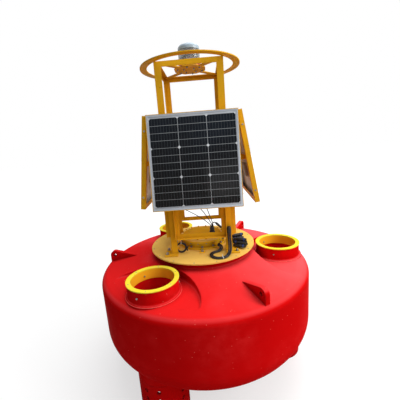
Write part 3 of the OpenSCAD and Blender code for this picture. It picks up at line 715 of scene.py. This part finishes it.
cordSet = {
    "panelLead1": cordSpec("panel_lead_1", 0.005, 0.5407, "hanging", [
        (-0.318, -0.030, 1.3285), (-0.318, -0.030, 1.314), (-0.316, -0.030, 1.296),
        (-0.309, -0.030, 1.272), (-0.296, -0.029, 1.247), (-0.274, -0.028, 1.222),
        (-0.248, -0.027, 1.202), (-0.220, -0.026, 1.184), (-0.188, -0.024, 1.165),
        (-0.156, -0.022, 1.147), (-0.125, -0.021, 1.130), (-0.094, -0.020, 1.113),
        (-0.065, -0.019, 1.096), (-0.036, -0.018, 1.078), (-0.010, -0.017, 1.060),
        (0.014, -0.016, 1.042), (0.032, -0.015, 1.027), (0.047, -0.014, 1.013), (0.058, -0.013, 1.001),
        (0.064, -0.012, 0.992), (0.066, -0.012, 0.9825)]),
    "panelLead2": cordSpec("panel_lead_2", 0.005, 0.4922, "hanging", frontLead(
        -0.030, -0.030, -0.029, -0.026, -0.020, -0.012, -0.002, 0.008, 0.018,
        0.028, 0.037, 0.046, 0.054, 0.061, 0.066, 0.070, 0.073, 0.074)),
    "panelLead3": cordSpec("panel_lead_3", 0.005, 0.4824, "hanging", frontLead(
        0.030, 0.030, 0.031, 0.033, 0.036, 0.040, 0.044, 0.048, 0.052,
        0.057, 0.061, 0.066, 0.071, 0.075, 0.078, 0.081, 0.082, 0.082)),
    "sensorLead": cordSpec("sensor_lead", 0.007, 0.2137, "hanging", [
        (0.078, -0.003, 0.9825), (0.078, -0.003, 0.9945), (0.080, -0.003, 1.002),
        (0.0855, -0.003, 1.0075), (0.092, -0.004, 1.0095), (0.098, -0.004, 1.0085),
        (0.1035, -0.005, 1.005), (0.140, -0.013, 0.970), (0.146, -0.018, 0.957), (0.151, -0.025, 0.945),
        (0.156, -0.033, 0.933), (0.161, -0.040, 0.923), (0.166, -0.047, 0.914), (0.172, -0.053, 0.907),
        (0.180, -0.0555, 0.903), (0.189, -0.054, 0.901), (0.202, -0.0488, 0.9006)]),
    "loopInner": cordSpec("loop_cable", 0.011, 0.4301, "loose", loopStrand(
        (0.1158, -0.1444), (0.123, -0.154), (0.1295, -0.1675), (0.1295, -0.1835), (0.1215, -0.1985),
        (0.1065, -0.2085), (0.0905, -0.2145), (0.0775, -0.223), (0.068, -0.2355), (0.0635, -0.251),
        (0.0665, -0.270), (0.0775, -0.287), (0.093, -0.2975), (0.1115, -0.300), (0.1305, -0.2955),
        (0.1475, -0.283), (0.1605, -0.263), (0.1685, -0.244), (0.173, -0.226), (0.174, -0.215),
        (0.173, -0.2115), (0.172, -0.2113), (0.172, -0.2113))),
    "loopOuter": cordSpec("loop_cable_2", 0.011, 0.4596, "loose", loopStrand(
        (0.1062, -0.1516), (0.1134, -0.1612), (0.1175, -0.1705), (0.1175, -0.1805), (0.1125, -0.1905),
        (0.1015, -0.1975), (0.0855, -0.2035), (0.0695, -0.214), (0.057, -0.2305), (0.0515, -0.251),
        (0.0555, -0.274), (0.0685, -0.295), (0.089, -0.3085), (0.1125, -0.312), (0.1355, -0.3065),
        (0.1565, -0.291), (0.1715, -0.269), (0.1795, -0.248), (0.185, -0.228), (0.186, -0.215),
        (0.185, -0.2115), (0.184, -0.2113), (0.184, -0.2113))),
    "coilCable": cordSpec("spare_coil", 0.005, 0.743, "coiled", coilRoute(), "connector"),
}


def layCord(name, spec):
    curve = bpy.data.curves.new(name, "CURVE")
    curve.dimensions = "3D"
    curve.bevel_depth = spec["diameter"] / 2
    curve.bevel_resolution = 4
    curve.resolution_u = 8
    curve.use_fill_caps = True
    line = curve.splines.new("BEZIER")
    line.bezier_points.add(len(spec["route"]) - 1)
    for point, place in zip(line.bezier_points, spec["route"]):
        point.co = place
        point.handle_left_type = point.handle_right_type = "AUTO"
    cord = bpy.data.objects.new(name, curve)
    bpy.context.collection.objects.link(cord)
    curve.materials.append(finishes["cable"])
    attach(cord, "root")
    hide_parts(spec["node"])
    return cord


coupler = {
    "from": (0.1035, -0.005, 1.005),
    "to": (0.140, -0.013, 0.970),
    "half": [  # radius and distance from the middle
        (0.0045, 0.029), (0.0056, 0.0285), (0.0068, 0.0215), (0.0078, 0.021), (0.0085, 0.020),
        (0.0085, 0.011), (0.0080, 0.0105), (0.0080, 0.009), (0.0085, 0.0085), (0.0085, 0.003),
        (0.0079, 0.0025)],
}


def standIn(piece, place, nodeName):
    # a piece in black plastic that takes the place of a solid
    piece.data.transform(place)
    finishPiece(piece, "black_plastic")
    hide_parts(nodeName)
    return piece


def modelCoupler():
    start, end = Vector(coupler["from"]), Vector(coupler["to"])
    profile = [(radius, -away) for radius, away in coupler["half"]] + coupler["half"][::-1]
    place = alongAxis((start + end) / 2, end - start)
    return standIn(turnedPiece("couplerShell", profile), place, "lead_coupler")


ties = {
    # place, way of the bundle, size across, thick and along, standing end
    "loopTie": ((0.127, -0.3027, 0.8762), (0.973, 0.232, 0), (0.0245, 0.0121, 0.0045), 0.012),
    "coilTie": ((-0.134, -0.1847, 0.9383), (1, 0, 0), (0.0135, 0.0135, 0.0040), 0.009),
}
strapThick = 0.0012  # metres


def modelTie(name):
    # a strap round a bundle: a block with round corners, and the end that stands off its lock
    place, way, size, tail = ties[name]
    across, thick, wide = size
    band = modelBlock(size, (0, 0, 0), min(across, thick) * 0.45, 5, lambda a, b: abs(a.z - b.z) > wide / 2)
    spare = (across * 0.3, thick / 2 + tail / 2, 0)
    end = modelBlock((strapThick, tail, wide * 0.8), spare, strapThick / 3)
    tie = joinPieces([band, end], name)
    along = Vector(way).normalized()
    side = Vector((0, 0, 1)).cross(along).normalized()
    turn = Matrix((side, along.cross(side), along)).transposed()
    tie.data.transform(Matrix.Translation(place) @ turn.to_4x4())
    return finishPiece(tie, "black_plastic", finishes["paleMoulding"])


coilPlug = {
    "profile": [
        (0.0027, 0.0), (0.0040, 0.0008), (0.0040, 0.006), (0.0048, 0.0065), (0.0048, 0.011),
        (0.0043, 0.0115), (0.0043, 0.013), (0.0048, 0.0135), (0.0048, 0.018), (0.0040, 0.0185),
        (0.0040, 0.024), (0.0033, 0.0246)],
}


def modelCoilPlugs(route):
    first, second, before, last = (Vector(route[i]) for i in (0, 1, -2, -1))
    places = [alongAxis(first, first - second), alongAxis(last, last - before)]
    return placeSet(
        turnedPiece("coilPlugMaster", coilPlug["profile"], 18), "coilPlugs", places, "black_plastic")


cordPieces = {name: layCord(name, spec) for name, spec in cordSet.items()}
carried = {
    "sensorLead": [modelCoupler()],
    "loopOuter": [modelTie("loopTie")],
    "coilCable": [modelTie("coilTie"), modelCoilPlugs(cordSet["coilCable"]["route"])],
}
print("cords laid:", len(cordPieces))


# panel faces: glass with the cells in front and the backsheet behind

panel = {
    "width": 0.5064,  # metres, the pane
    "height": 0.5344,
    "thick": 0.005,
    "bevel": 0.0008,
    "edge": 0.0018,  # from the outside of the rim to the pane
    "setBack": 0.0015,
    "tall": 0.538,  # the whole panel with its rim
    "low": 0.332,  # lower edge above the base plate
    "topReach": 0.282,  # upper edge from the middle of the tower
    "lean": 7.2,  # degrees, lower edge outwards
    "rightLean": 9.2,
}


def panelFrame(k):
    lean = math.radians(panel["rightLean"] if k == 2 else panel["lean"])
    out = panel["topReach"] + panel["tall"] * math.sin(lean)
    return (
        Matrix.Rotation(math.radians(90 * (k - 1)), 4, "Z")
        @ Matrix.Translation((0, -out, plateTop + panel["low"]))
        @ Matrix.Rotation(-lean, 4, "X")
    )


def modelPanelFace():
    size = (panel["width"], panel["thick"], panel["height"])
    middle = (0, panel["setBack"] + panel["thick"] / 2, panel["edge"] + panel["height"] / 2)
    face = modelBlock(size, middle, panel["bevel"], wanted=lambda a, b: max(a.y, b.y) < middle[1])
    face.data.materials.append(finishes["panel_face"])
    face.data.materials.append(finishes["backsheet"])
    uv = face.data.uv_layers.active.data
    for polygon in face.data.polygons:
        polygon.material_index = 1 if polygon.normal.y > 0.9 else 0
        for loop in polygon.loop_indices:
            point = face.data.vertices[face.data.loops[loop].vertex_index].co
            uv[loop].uv = (point.x / panel["width"] + 0.5, (point.z - panel["edge"]) / panel["height"])
    return face


def placeOnPanels(master, name, nodeName, slotName, material=None):
    for k in (1, 2, 3, 4):
        piece = copyTo(master, f"{name}{k}", panelFrame(k))
        finishPiece(piece, slotName, material)
        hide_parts(f"{nodeName}_{k}")
    bpy.data.objects.remove(master)


placeOnPanels(modelPanelFace(), "panelFace", "panel_glass", "panel_face")
print("panel faces placed")


# fasteners, with steps given in thread diameters

fastener = {
    # sides, then radius and height of each step
    "washer": (20, [(1.0, 0.0), (1.06, 0.05), (1.06, 0.18), (1.0, 0.23)]),
    "nut": (6, [(0.86, 0.23), (0.94, 0.31), (0.94, 0.95), (0.86, 1.03)]),
    "stud": (12, [(0.5, 0.9), (0.5, 1.42), (0.4, 1.52)]),
    "panHead": (16, [(1.0, 0.0), (1.0, 0.22), (0.9, 0.42), (0.62, 0.54), (0.42, 0.56), (0.42, 0.3)]),
    "flushHead": (16, [(1.0, 0.0), (1.0, 0.04), (0.86, 0.12), (0.45, 0.14), (0.42, 0.05)]),
}
boltHead = ("washer", "nut")
nutOnStud = ("washer", "nut", "stud")


def modelFastener(size, *kinds):
    pieces = []
    for kind in kinds:
        sides, steps = fastener[kind]
        scaled = [(radius * size, height * size) for radius, height in steps]
        pieces.append(turnedPiece(kind, scaled, sides))
    return joinPieces(pieces, "fastenerMaster")


junctionBox = {
    "width": 0.110,  # metres
    "height": 0.090,
    "low": 0.130,  # from the panel's lower edge
    "back": 0.0065,  # back of the pane
    "body": 0.0115,
    "bodyBevel": 0.0008,
    "cover": 0.0045,
    "coverBevel": 0.0015,
    "inset": 0.002,  # of the body's sides under the cover
    "screws": (0.046, 0.036),
    "screwSize": 0.0032,
}


def placeJunctionBoxes():
    wide, tall, inset = junctionBox["width"], junctionBox["height"], junctionBox["inset"]
    back, deep, lid = junctionBox["back"], junctionBox["body"], junctionBox["cover"]
    middle = junctionBox["low"] + tall / 2
    seam = back + deep
    body = modelBlock(
        (wide - 2 * inset, deep, tall - 2 * inset), (0, back + deep / 2, middle), junctionBox["bodyBevel"])
    cover = modelBlock((wide, lid, tall), (0, seam + lid / 2, middle), junctionBox["coverBevel"])
    spanX, spanZ = junctionBox["screws"]
    spots = [(sx * spanX, seam + lid, middle + sz * spanZ) for sx, sz in corners]
    screw = modelFastener(junctionBox["screwSize"], "flushHead")
    screws = copySet(screw, "boxScrews", facing(spots, (0, 1, 0)))
    master = joinPieces([body, cover, screws], "boxMaster")
    placeOnPanels(master, "junctionBox", "junction_box", "black_plastic", finishes["boxMoulding"])


deckBolts = {
    "footTop": 0.876,  # metres
    "footPlaces": [(0.224, 0.210), (0.224, 0.139)],
    "footSize": 0.010,  # thread
    "tabRadius": 0.189,
    "tabTop": 0.874,
    "flangeTop": 0.882,
    "lidUnder": 0.912,
    # count, radius, start in degrees and thread
    "flange": (12, 0.1475, -90, 0.008),
    "lid": (16, 0.1425, -101, 0.006),
    "rim": (16, 0.347, -98, 0.0045),
}


def placeDeckBolts():
    places, top = deckBolts["footPlaces"], deckBolts["footTop"]
    feet = [(sx * x, sy * y, top) for sx, sy in corners for x, y in places]
    tabs = around(4, deckBolts["tabRadius"], deckBolts["tabTop"])
    placeSet(modelFastener(deckBolts["footSize"], *nutOnStud), "footNuts", facing(feet + tabs), "steel")
    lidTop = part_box("hatch_lid")[1].z
    circles = [
        ("flangeNuts", "flange", deckBolts["flangeTop"], 1, nutOnStud, "steel"),
        ("lidNuts", "lid", deckBolts["lidUnder"], -1, nutOnStud, "steel"),
        ("lidHeads", "lid", lidTop, 1, boltHead, "tower_yellow"),
        ("rimScrews", "rim", plateTop, 1, ["flushHead"], "steel"),
    ]
    for name, circle, z, way, kinds, slotName in circles:
        count, radius, start, size = deckBolts[circle]
        spots = facing(around(count, radius, z, start), (0, 0, way))
        placeSet(modelFastener(size, *kinds), name, spots, slotName)


wellBolts = {
    "start": -114,  # degrees
    "count": 3,
    "height": 0.805,
    "outer": 0.145,
    "inner": 0.1227,
    "size": 0.005,
    "screwStart": -94,
    "screwRadius": 0.136,
    "screws": 6,
    "screwSize": 0.0036,
}


def wellTop(k):
    low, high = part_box(f"well_ring_{k}")
    return Vector(((low.x + high.x) / 2, (low.y + high.y) / 2, high.z))


def placeWellBolts():
    heads, ends, screws = [], [], []
    for k in (1, 2, 3):
        top = wellTop(k)
        centre = Vector((top.x, top.y, wellBolts["height"]))
        for way in around(wellBolts["count"], 1, 0, wellBolts["start"]):
            out = Vector(way)
            heads.append(alongAxis(centre + out * wellBolts["outer"], out))
            ends.append(alongAxis(centre + out * wellBolts["inner"], -out))
        spots = around(wellBolts["screws"], wellBolts["screwRadius"], 0, wellBolts["screwStart"])
        screws += facing([top + Vector(spot) for spot in spots])
    placeSet(modelFastener(wellBolts["size"], *boltHead), "wellBolts", heads, "steel")
    placeSet(modelFastener(wellBolts["size"], *nutOnStud), "wellNuts", ends, "steel")
    placeSet(modelFastener(wellBolts["screwSize"], "flushHead"), "ringScrews", screws, "steel")


cradleBolts = {
    "side": 0.2583,  # metres, outside of the angle frame from the panel's middle line
    "depth": 0.014,
    "heights": (0.070, 0.457),
    "size": 0.0058,
    "lampRings": [(6, 0.080, 20), (4, 0.046, 35)],  # count, radius, start
    "lampUnder": 2.024,
    "lampSize": 0.0055,
}


def placeTowerBolts():
    places = []
    for k in (1, 2, 3, 4):
        for side in (-1, 1):
            for z in cradleBolts["heights"]:
                spot = (side * cradleBolts["side"], cradleBolts["depth"], z)
                places.append(panelFrame(k) @ alongAxis(spot, (side, 0, 0)))
    placeSet(modelFastener(cradleBolts["size"], "panHead"), "cradleBolts", places, "steel")
    lamp = []
    for count, radius, start in cradleBolts["lampRings"]:
        lamp += facing(around(count, radius, cradleBolts["lampUnder"], start), (0, 0, -1))
    placeSet(modelFastener(cradleBolts["lampSize"], *nutOnStud), "lampNuts", lamp, "steel")


placeJunctionBoxes()
placeDeckBolts()
placeWellBolts()
placeTowerBolts()
print("junction boxes and fasteners placed")


# weld beads

welds = {
    "drumRadius": 0.1365,  # metres
    "drumFoot": 0.882,
    "drumBead": 0.0026,
    "flangeRadius": 0.1592,
    "flangeBead": 0.003,
    "postFace": 0.1975,
    "postLeg": 0.040,
    "ripple": 0.004,
    "uneven": 0.28,  # share of the thickness
    "crest": 0.0032,
    "dip": 0.0026,
    "end": 0.001,
    "stubRadius": 0.1572,
    "stubFoot": 0.7642,
    "stubBead": 0.0022,
}


def modelRing(name, radius, z, thick):
    deselectAll()
    bpy.ops.mesh.primitive_torus_add(
        location=(0, 0, z), major_radius=radius, minor_radius=thick, major_segments=150, minor_segments=8)
    ring = named(bpy.context.object, name)
    bpy.ops.object.mode_set(mode="EDIT")
    bpy.ops.mesh.select_all(action="SELECT")
    bpy.ops.transform.vertex_random(offset=thick * welds["uneven"], seed=4)
    applyPlace(ring)
    return ring


def modelBead(length):
    # ripples of a hand weld, one after another
    count = round(length / welds["ripple"])
    steps = [(welds["end"], 0.0)]
    for i in range(count):
        steps.append((welds["crest"], (i + 0.4) * length / count))
        steps.append((welds["dip"], (i + 1.0) * length / count))
    steps.append((welds["end"], length + 0.0008))
    return turnedPiece("beadMaster", steps, 10)


def placeWelds():
    drum = modelRing("drumWeld", welds["drumRadius"], welds["drumFoot"], welds["drumBead"])
    finishPiece(drum, "tower_yellow", sharpAt=60)
    flange = modelRing("flangeWeld", welds["flangeRadius"], plateTop, welds["flangeBead"])
    finishPiece(flange, "plate_yellow", sharpAt=60)
    feet = []
    face, leg, z = welds["postFace"], welds["postLeg"], deckBolts["footTop"]
    for sx, sy in corners:
        feet.append(alongAxis((sx * (face - leg), sy * face, z), (sx, 0, 0)))
        feet.append(alongAxis((sx * face, sy * (face - leg), z), (0, sy, 0)))
    placeSet(modelBead(leg), "postWelds", feet, "tower_yellow")
    # the bead that is left round the foot of each well stub
    middles = [(wellTop(k).x, wellTop(k).y, 0) for k in (1, 2, 3)]
    bead = modelRing("stubMaster", welds["stubRadius"], welds["stubFoot"], welds["stubBead"])
    # the beads take a paler red, partly a painted highlight
    placeSet(bead, "stubBeads", facing(middles), "float_red", finishes["beadHighlightShell"])


placeWelds()
print("welds laid")


# cable entries and plugs

def modelBoot(base, tip, length):
    # tapered seal with three soft folds
    steps = [(base, 0.0)]
    for i in range(3):
        wide = base + (tip - base) * (i + 0.6) / 3.6
        steps += [(wide, (i + 0.35) / 3.4 * length), (wide * 0.93, (i + 0.6) / 3.4 * length)]
    steps += [(tip * 1.04, length * 0.97), (tip, length)]
    return turnedPiece("bootMaster", steps, 20)


boots = {
    # base radius, tip radius, length, exits and the way they point
    "lidBoots": (
        0.0039, 0.0029, 0.013,
        [(0.066, -0.012, 0.982), (0.074, -0.012, 0.982), (0.082, -0.012, 0.982)], (0, 0, 1)),
    "sensorBoot": (0.0048, 0.0038, 0.011, [(0.078, -0.003, 0.982)], (0, 0, 1)),
    "boxBoots": (
        0.0052, 0.0029, 0.014,
        [(-0.318, -0.030, 1.3287), (-0.030, -0.318, 1.3287), (0.030, -0.318, 1.3287)], (0, 0, -1)),
    "drumBoots": (
        0.0060, 0.0057, 0.013, [(0.1158, -0.1444, 0.897), (0.1062, -0.1516, 0.897)], (0.6, -0.8, 0)),
    "postBoots": (
        0.0060, 0.0057, 0.022, [(0.172, -0.2113, 0.9963), (0.184, -0.2113, 0.9963)], (0, 0, -1)),
}
for name, (base, tip, length, exits, way) in boots.items():
    placeSet(modelBoot(base, tip, length), name, facing(exits, way), "black_plastic")

lidEntry = {
    "place": (0.074, -0.012),
    "nut": [(0.0205, 0.0), (0.022, 0.0015), (0.022, 0.0095), (0.0205, 0.011)],
    "body": [(0.0165, 0.011), (0.0165, 0.019), (0.0158, 0.0195), (0.0158, 0.021)],
    "capNut": [(0.0158, 0.021), (0.017, 0.0225), (0.017, 0.036), (0.0162, 0.0375)],
    "dome": [(0.0162, 0.0375), (0.0158, 0.040), (0.0142, 0.0425), (0.0115, 0.0438), (0.006, 0.044)],
}


def modelLidEntry():
    rounds = [("nut", 6), ("body", 32), ("capNut", 10), ("dome", 32)]
    entry = joinPieces([turnedPiece(kind, lidEntry[kind], sides) for kind, sides in rounds], "lidEntry")
    place = (*lidEntry["place"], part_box("hatch_lid")[1].z)
    standIn(entry, Matrix.Translation(place), "lid_gland")


drumEntry = {
    "way": (0.6, -0.8, 0),
    "height": 0.897,
    "locknut": [(0.0162, 0.1366), (0.0172, 0.138), (0.0172, 0.146), (0.0162, 0.1474)],
    "face": [(0.0125, 0.1846), (0.0125, 0.1852), (0.0118, 0.1856)],
}


def modelDrumEntry():
    along = alongAxis((0, 0, drumEntry["height"]), drumEntry["way"])
    placeSet(turnedPiece("locknut", drumEntry["locknut"], 6), "drumLocknut", [along], "tower_yellow")
    placeSet(turnedPiece("seal", drumEntry["face"], 28), "drumSeal", [along], "black_plastic")


sensorPlug = {
    "profile": [
        (0.0046, 0.0), (0.0058, 0.0006), (0.0066, 0.006), (0.0062, 0.0066), (0.0076, 0.0125),
        (0.0072, 0.013), (0.0086, 0.019), (0.0098, 0.0194), (0.0098, 0.031), (0.0092, 0.0314),
        (0.0092, 0.034), (0.0105, 0.0345), (0.0109, 0.0355), (0.0109, 0.039), (0.0103, 0.0395),
        (0.0103, 0.041), (0.0109, 0.0415), (0.0109, 0.045), (0.0103, 0.0455), (0.0103, 0.047),
        (0.0109, 0.0475), (0.0109, 0.051), (0.0103, 0.052), (0.0098, 0.0525), (0.0098, 0.063),
        (0.0106, 0.0635), (0.0106, 0.0725), (0.0098, 0.073), (0.0090, 0.0734), (0.0090, 0.083),
        (0.0084, 0.0838), (0.0072, 0.0838), (0.0072, 0.078)],
    "blueFrom": 0.0632,
    "blueTo": 0.0728,
    "insert": 0.078,  # depth of the pale insert in the open end
    "pitch": 0.0223,
    "rest": 0.0113,  # height of the lowest axis
    "length": 0.084,
    "steps": [(0, 0, 1), (1, 0, -1), (2, 0, 1), (0.5, 1, -1), (1.5, 1, 1), (1, 2, 1)],  # across, layer, way
    "stacks": [((0.214, -0.080, 0.0), 20), ((0.206, -0.146, 0.006), -25)],
}


def modelSensorPlugs():
    plug = turnedPiece("plugMaster", sensorPlug["profile"], 22)
    for material in ("black_plastic", "blueMoulding", "paleMoulding"):
        plug.data.materials.append(finishes[material])
    for face in plug.data.polygons:
        height = face.center.z
        if sensorPlug["blueFrom"] < height < sensorPlug["blueTo"]:
            face.material_index = 1
        elif face.normal.z > 0.9 and abs(height - sensorPlug["insert"]) < 0.0005:
            face.material_index = 2
    places = []
    for (x, y, z), turn in sensorPlug["stacks"]:
        stack = Matrix.Translation((x, y, plateTop + z)) @ Matrix.Rotation(math.radians(turn), 4, "Z")
        for across, layer, way in sensorPlug["steps"]:
            up = sensorPlug["rest"] + layer * sensorPlug["pitch"] * math.sin(math.radians(60))
            back = 0 if way > 0 else sensorPlug["length"]
            lying = Matrix.Rotation(way * math.pi / 2, 4, "Y")
            places.append(stack @ Matrix.Translation((back, across * sensorPlug["pitch"], up)) @ lying)
    plugs = placeSet(plug, "sensorPlugs", places, "black_plastic")
    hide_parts("sensor_plugs")


postPlug = {
    "place": (0.178, -0.2113, 0.9963),
    "profile": [
        (0.0125, 0.0), (0.0138, 0.0012), (0.0138, 0.012), (0.0128, 0.0126), (0.0128, 0.0146),
        (0.0138, 0.0152), (0.0138, 0.019), (0.0130, 0.0196), (0.0130, 0.021), (0.0138, 0.0216),
        (0.0138, 0.0254), (0.0130, 0.026), (0.0130, 0.0274), (0.0138, 0.028), (0.0138, 0.036),
        (0.0120, 0.0385), (0.0120, 0.042), (0.0105, 0.044)],
}


def modelPostPlug():
    plug = turnedPiece("postPlug", postPlug["profile"], 28)
    standIn(plug, Matrix.Translation(postPlug["place"]), "post_plug")


modelLidEntry()
modelDrumEntry()
modelSensorPlugs()
modelPostPlug()
print("entries and plugs made")


# floor, world and soft light

studio = {
    "floor": 60.0,  # metres across
    "nearGlow": 0.62,  # white that the camera sees beside the object, under its shadow
    "farGlow": 1.0,
    "glowNear": 1.0,  # metres from the middle
    "glowFar": 7.0,
    "floorTone": (0.4, 0.4, 0.4, 1),  # as the camera sees it
    "bounceTone": (0.31, 0.31, 0.31, 1),  # as it lights the object
    "skyTone": (0.95, 0.97, 1.0, 1),
    "skyTop": 0.85,
    "skyEdge": 0.2,
    "skyLeft": 0.15,  # share of that light that comes from the left
    "skySides": (-1.0, 0.3),  # where that share begins and ends, along X
    "lights": [
        # name, place, aimed at, size, watts, colour
        ("skyBox", (0.9, 0.3, 5.4), (0, 0, 0.8), 4.5, 205.0, (1.0, 0.99, 0.97)),
        ("rightBox", (3.6, -1.4, 3.0), (0, 0, 0.9), 2.2, 108.0, (1.0, 0.97, 0.93)),
        ("frontBox", (1.4, -4.8, 1.2), (0, 0, 0.6), 2.0, 18.0, (1.0, 1.0, 1.0)),
    ],
}


def seenRays(tree):
    path = addNode(tree, "LightPath").outputs
    mirrored = calc(tree, "MAXIMUM", path["Is Glossy Ray"], path["Is Transmission Ray"])
    return calc(tree, "MAXIMUM", path["Is Camera Ray"], mirrored)


def addFloor():
    deselectAll()
    bpy.ops.mesh.primitive_plane_add(size=studio["floor"])
    floor = named(bpy.context.object, "floor")
    material, tree, shader, place = newMaterial("paleFloor")
    tree.nodes.remove(shader)
    away = addNode(tree, "VectorMath", {0: place}, operation="LENGTH").outputs["Value"]
    glow = remap(
        tree, away, studio["glowNear"], studio["glowFar"], studio["nearGlow"], studio["farGlow"])
    pale = addNode(tree, "BsdfDiffuse", {"Color": studio["floorTone"]}).outputs[0]
    white = addNode(tree, "Emission", {"Color": (1, 1, 1, 1), "Strength": glow}).outputs[0]
    lit = addNode(tree, "AddShader", {0: pale, 1: white}).outputs[0]
    bounce = addNode(tree, "BsdfDiffuse", {"Color": studio["bounceTone"]}).outputs[0]
    mixed = addNode(tree, "MixShader", {0: seenRays(tree), 1: bounce, 2: lit}).outputs[0]
    setInputs(tree, tree.nodes["Material Output"], {"Surface": mixed})
    floor.data.materials.append(material)


def lightWorld():
    world = bpy.data.worlds.new("paleWorld")
    bpy.context.scene.world = world
    world.use_nodes = True
    tree = world.node_tree
    tree.nodes.clear()
    way = split(tree, addNode(tree, "TexCoord").outputs["Generated"])
    rise = remap(tree, way[2], 0.0, 1.0, studio["skyEdge"], studio["skyTop"])
    level = times(tree, rise, remap(tree, way[0], *studio["skySides"], studio["skyLeft"], 1.0))
    soft = addNode(tree, "Background", {"Color": studio["skyTone"], "Strength": level}).outputs[0]
    white = addNode(tree, "Background", {"Color": (1, 1, 1, 1)}).outputs[0]
    mixed = addNode(tree, "MixShader", {0: seenRays(tree), 1: soft, 2: white}).outputs[0]
    addNode(tree, "OutputWorld", {"Surface": mixed})


def addLights():
    for name, place, aim, size, watts, colour in studio["lights"]:
        deselectAll()
        turn = (Vector(aim) - Vector(place)).to_track_quat("-Z", "Y").to_euler()
        bpy.ops.object.light_add(type="AREA", location=place, rotation=turn)
        light = bpy.context.object
        light.name = name
        light.data.size, light.data.energy, light.data.color = size, watts, colour


addFloor()
lightWorld()
addLights()
bpy.context.scene.view_settings.view_transform = "Standard"
print("studio lit")
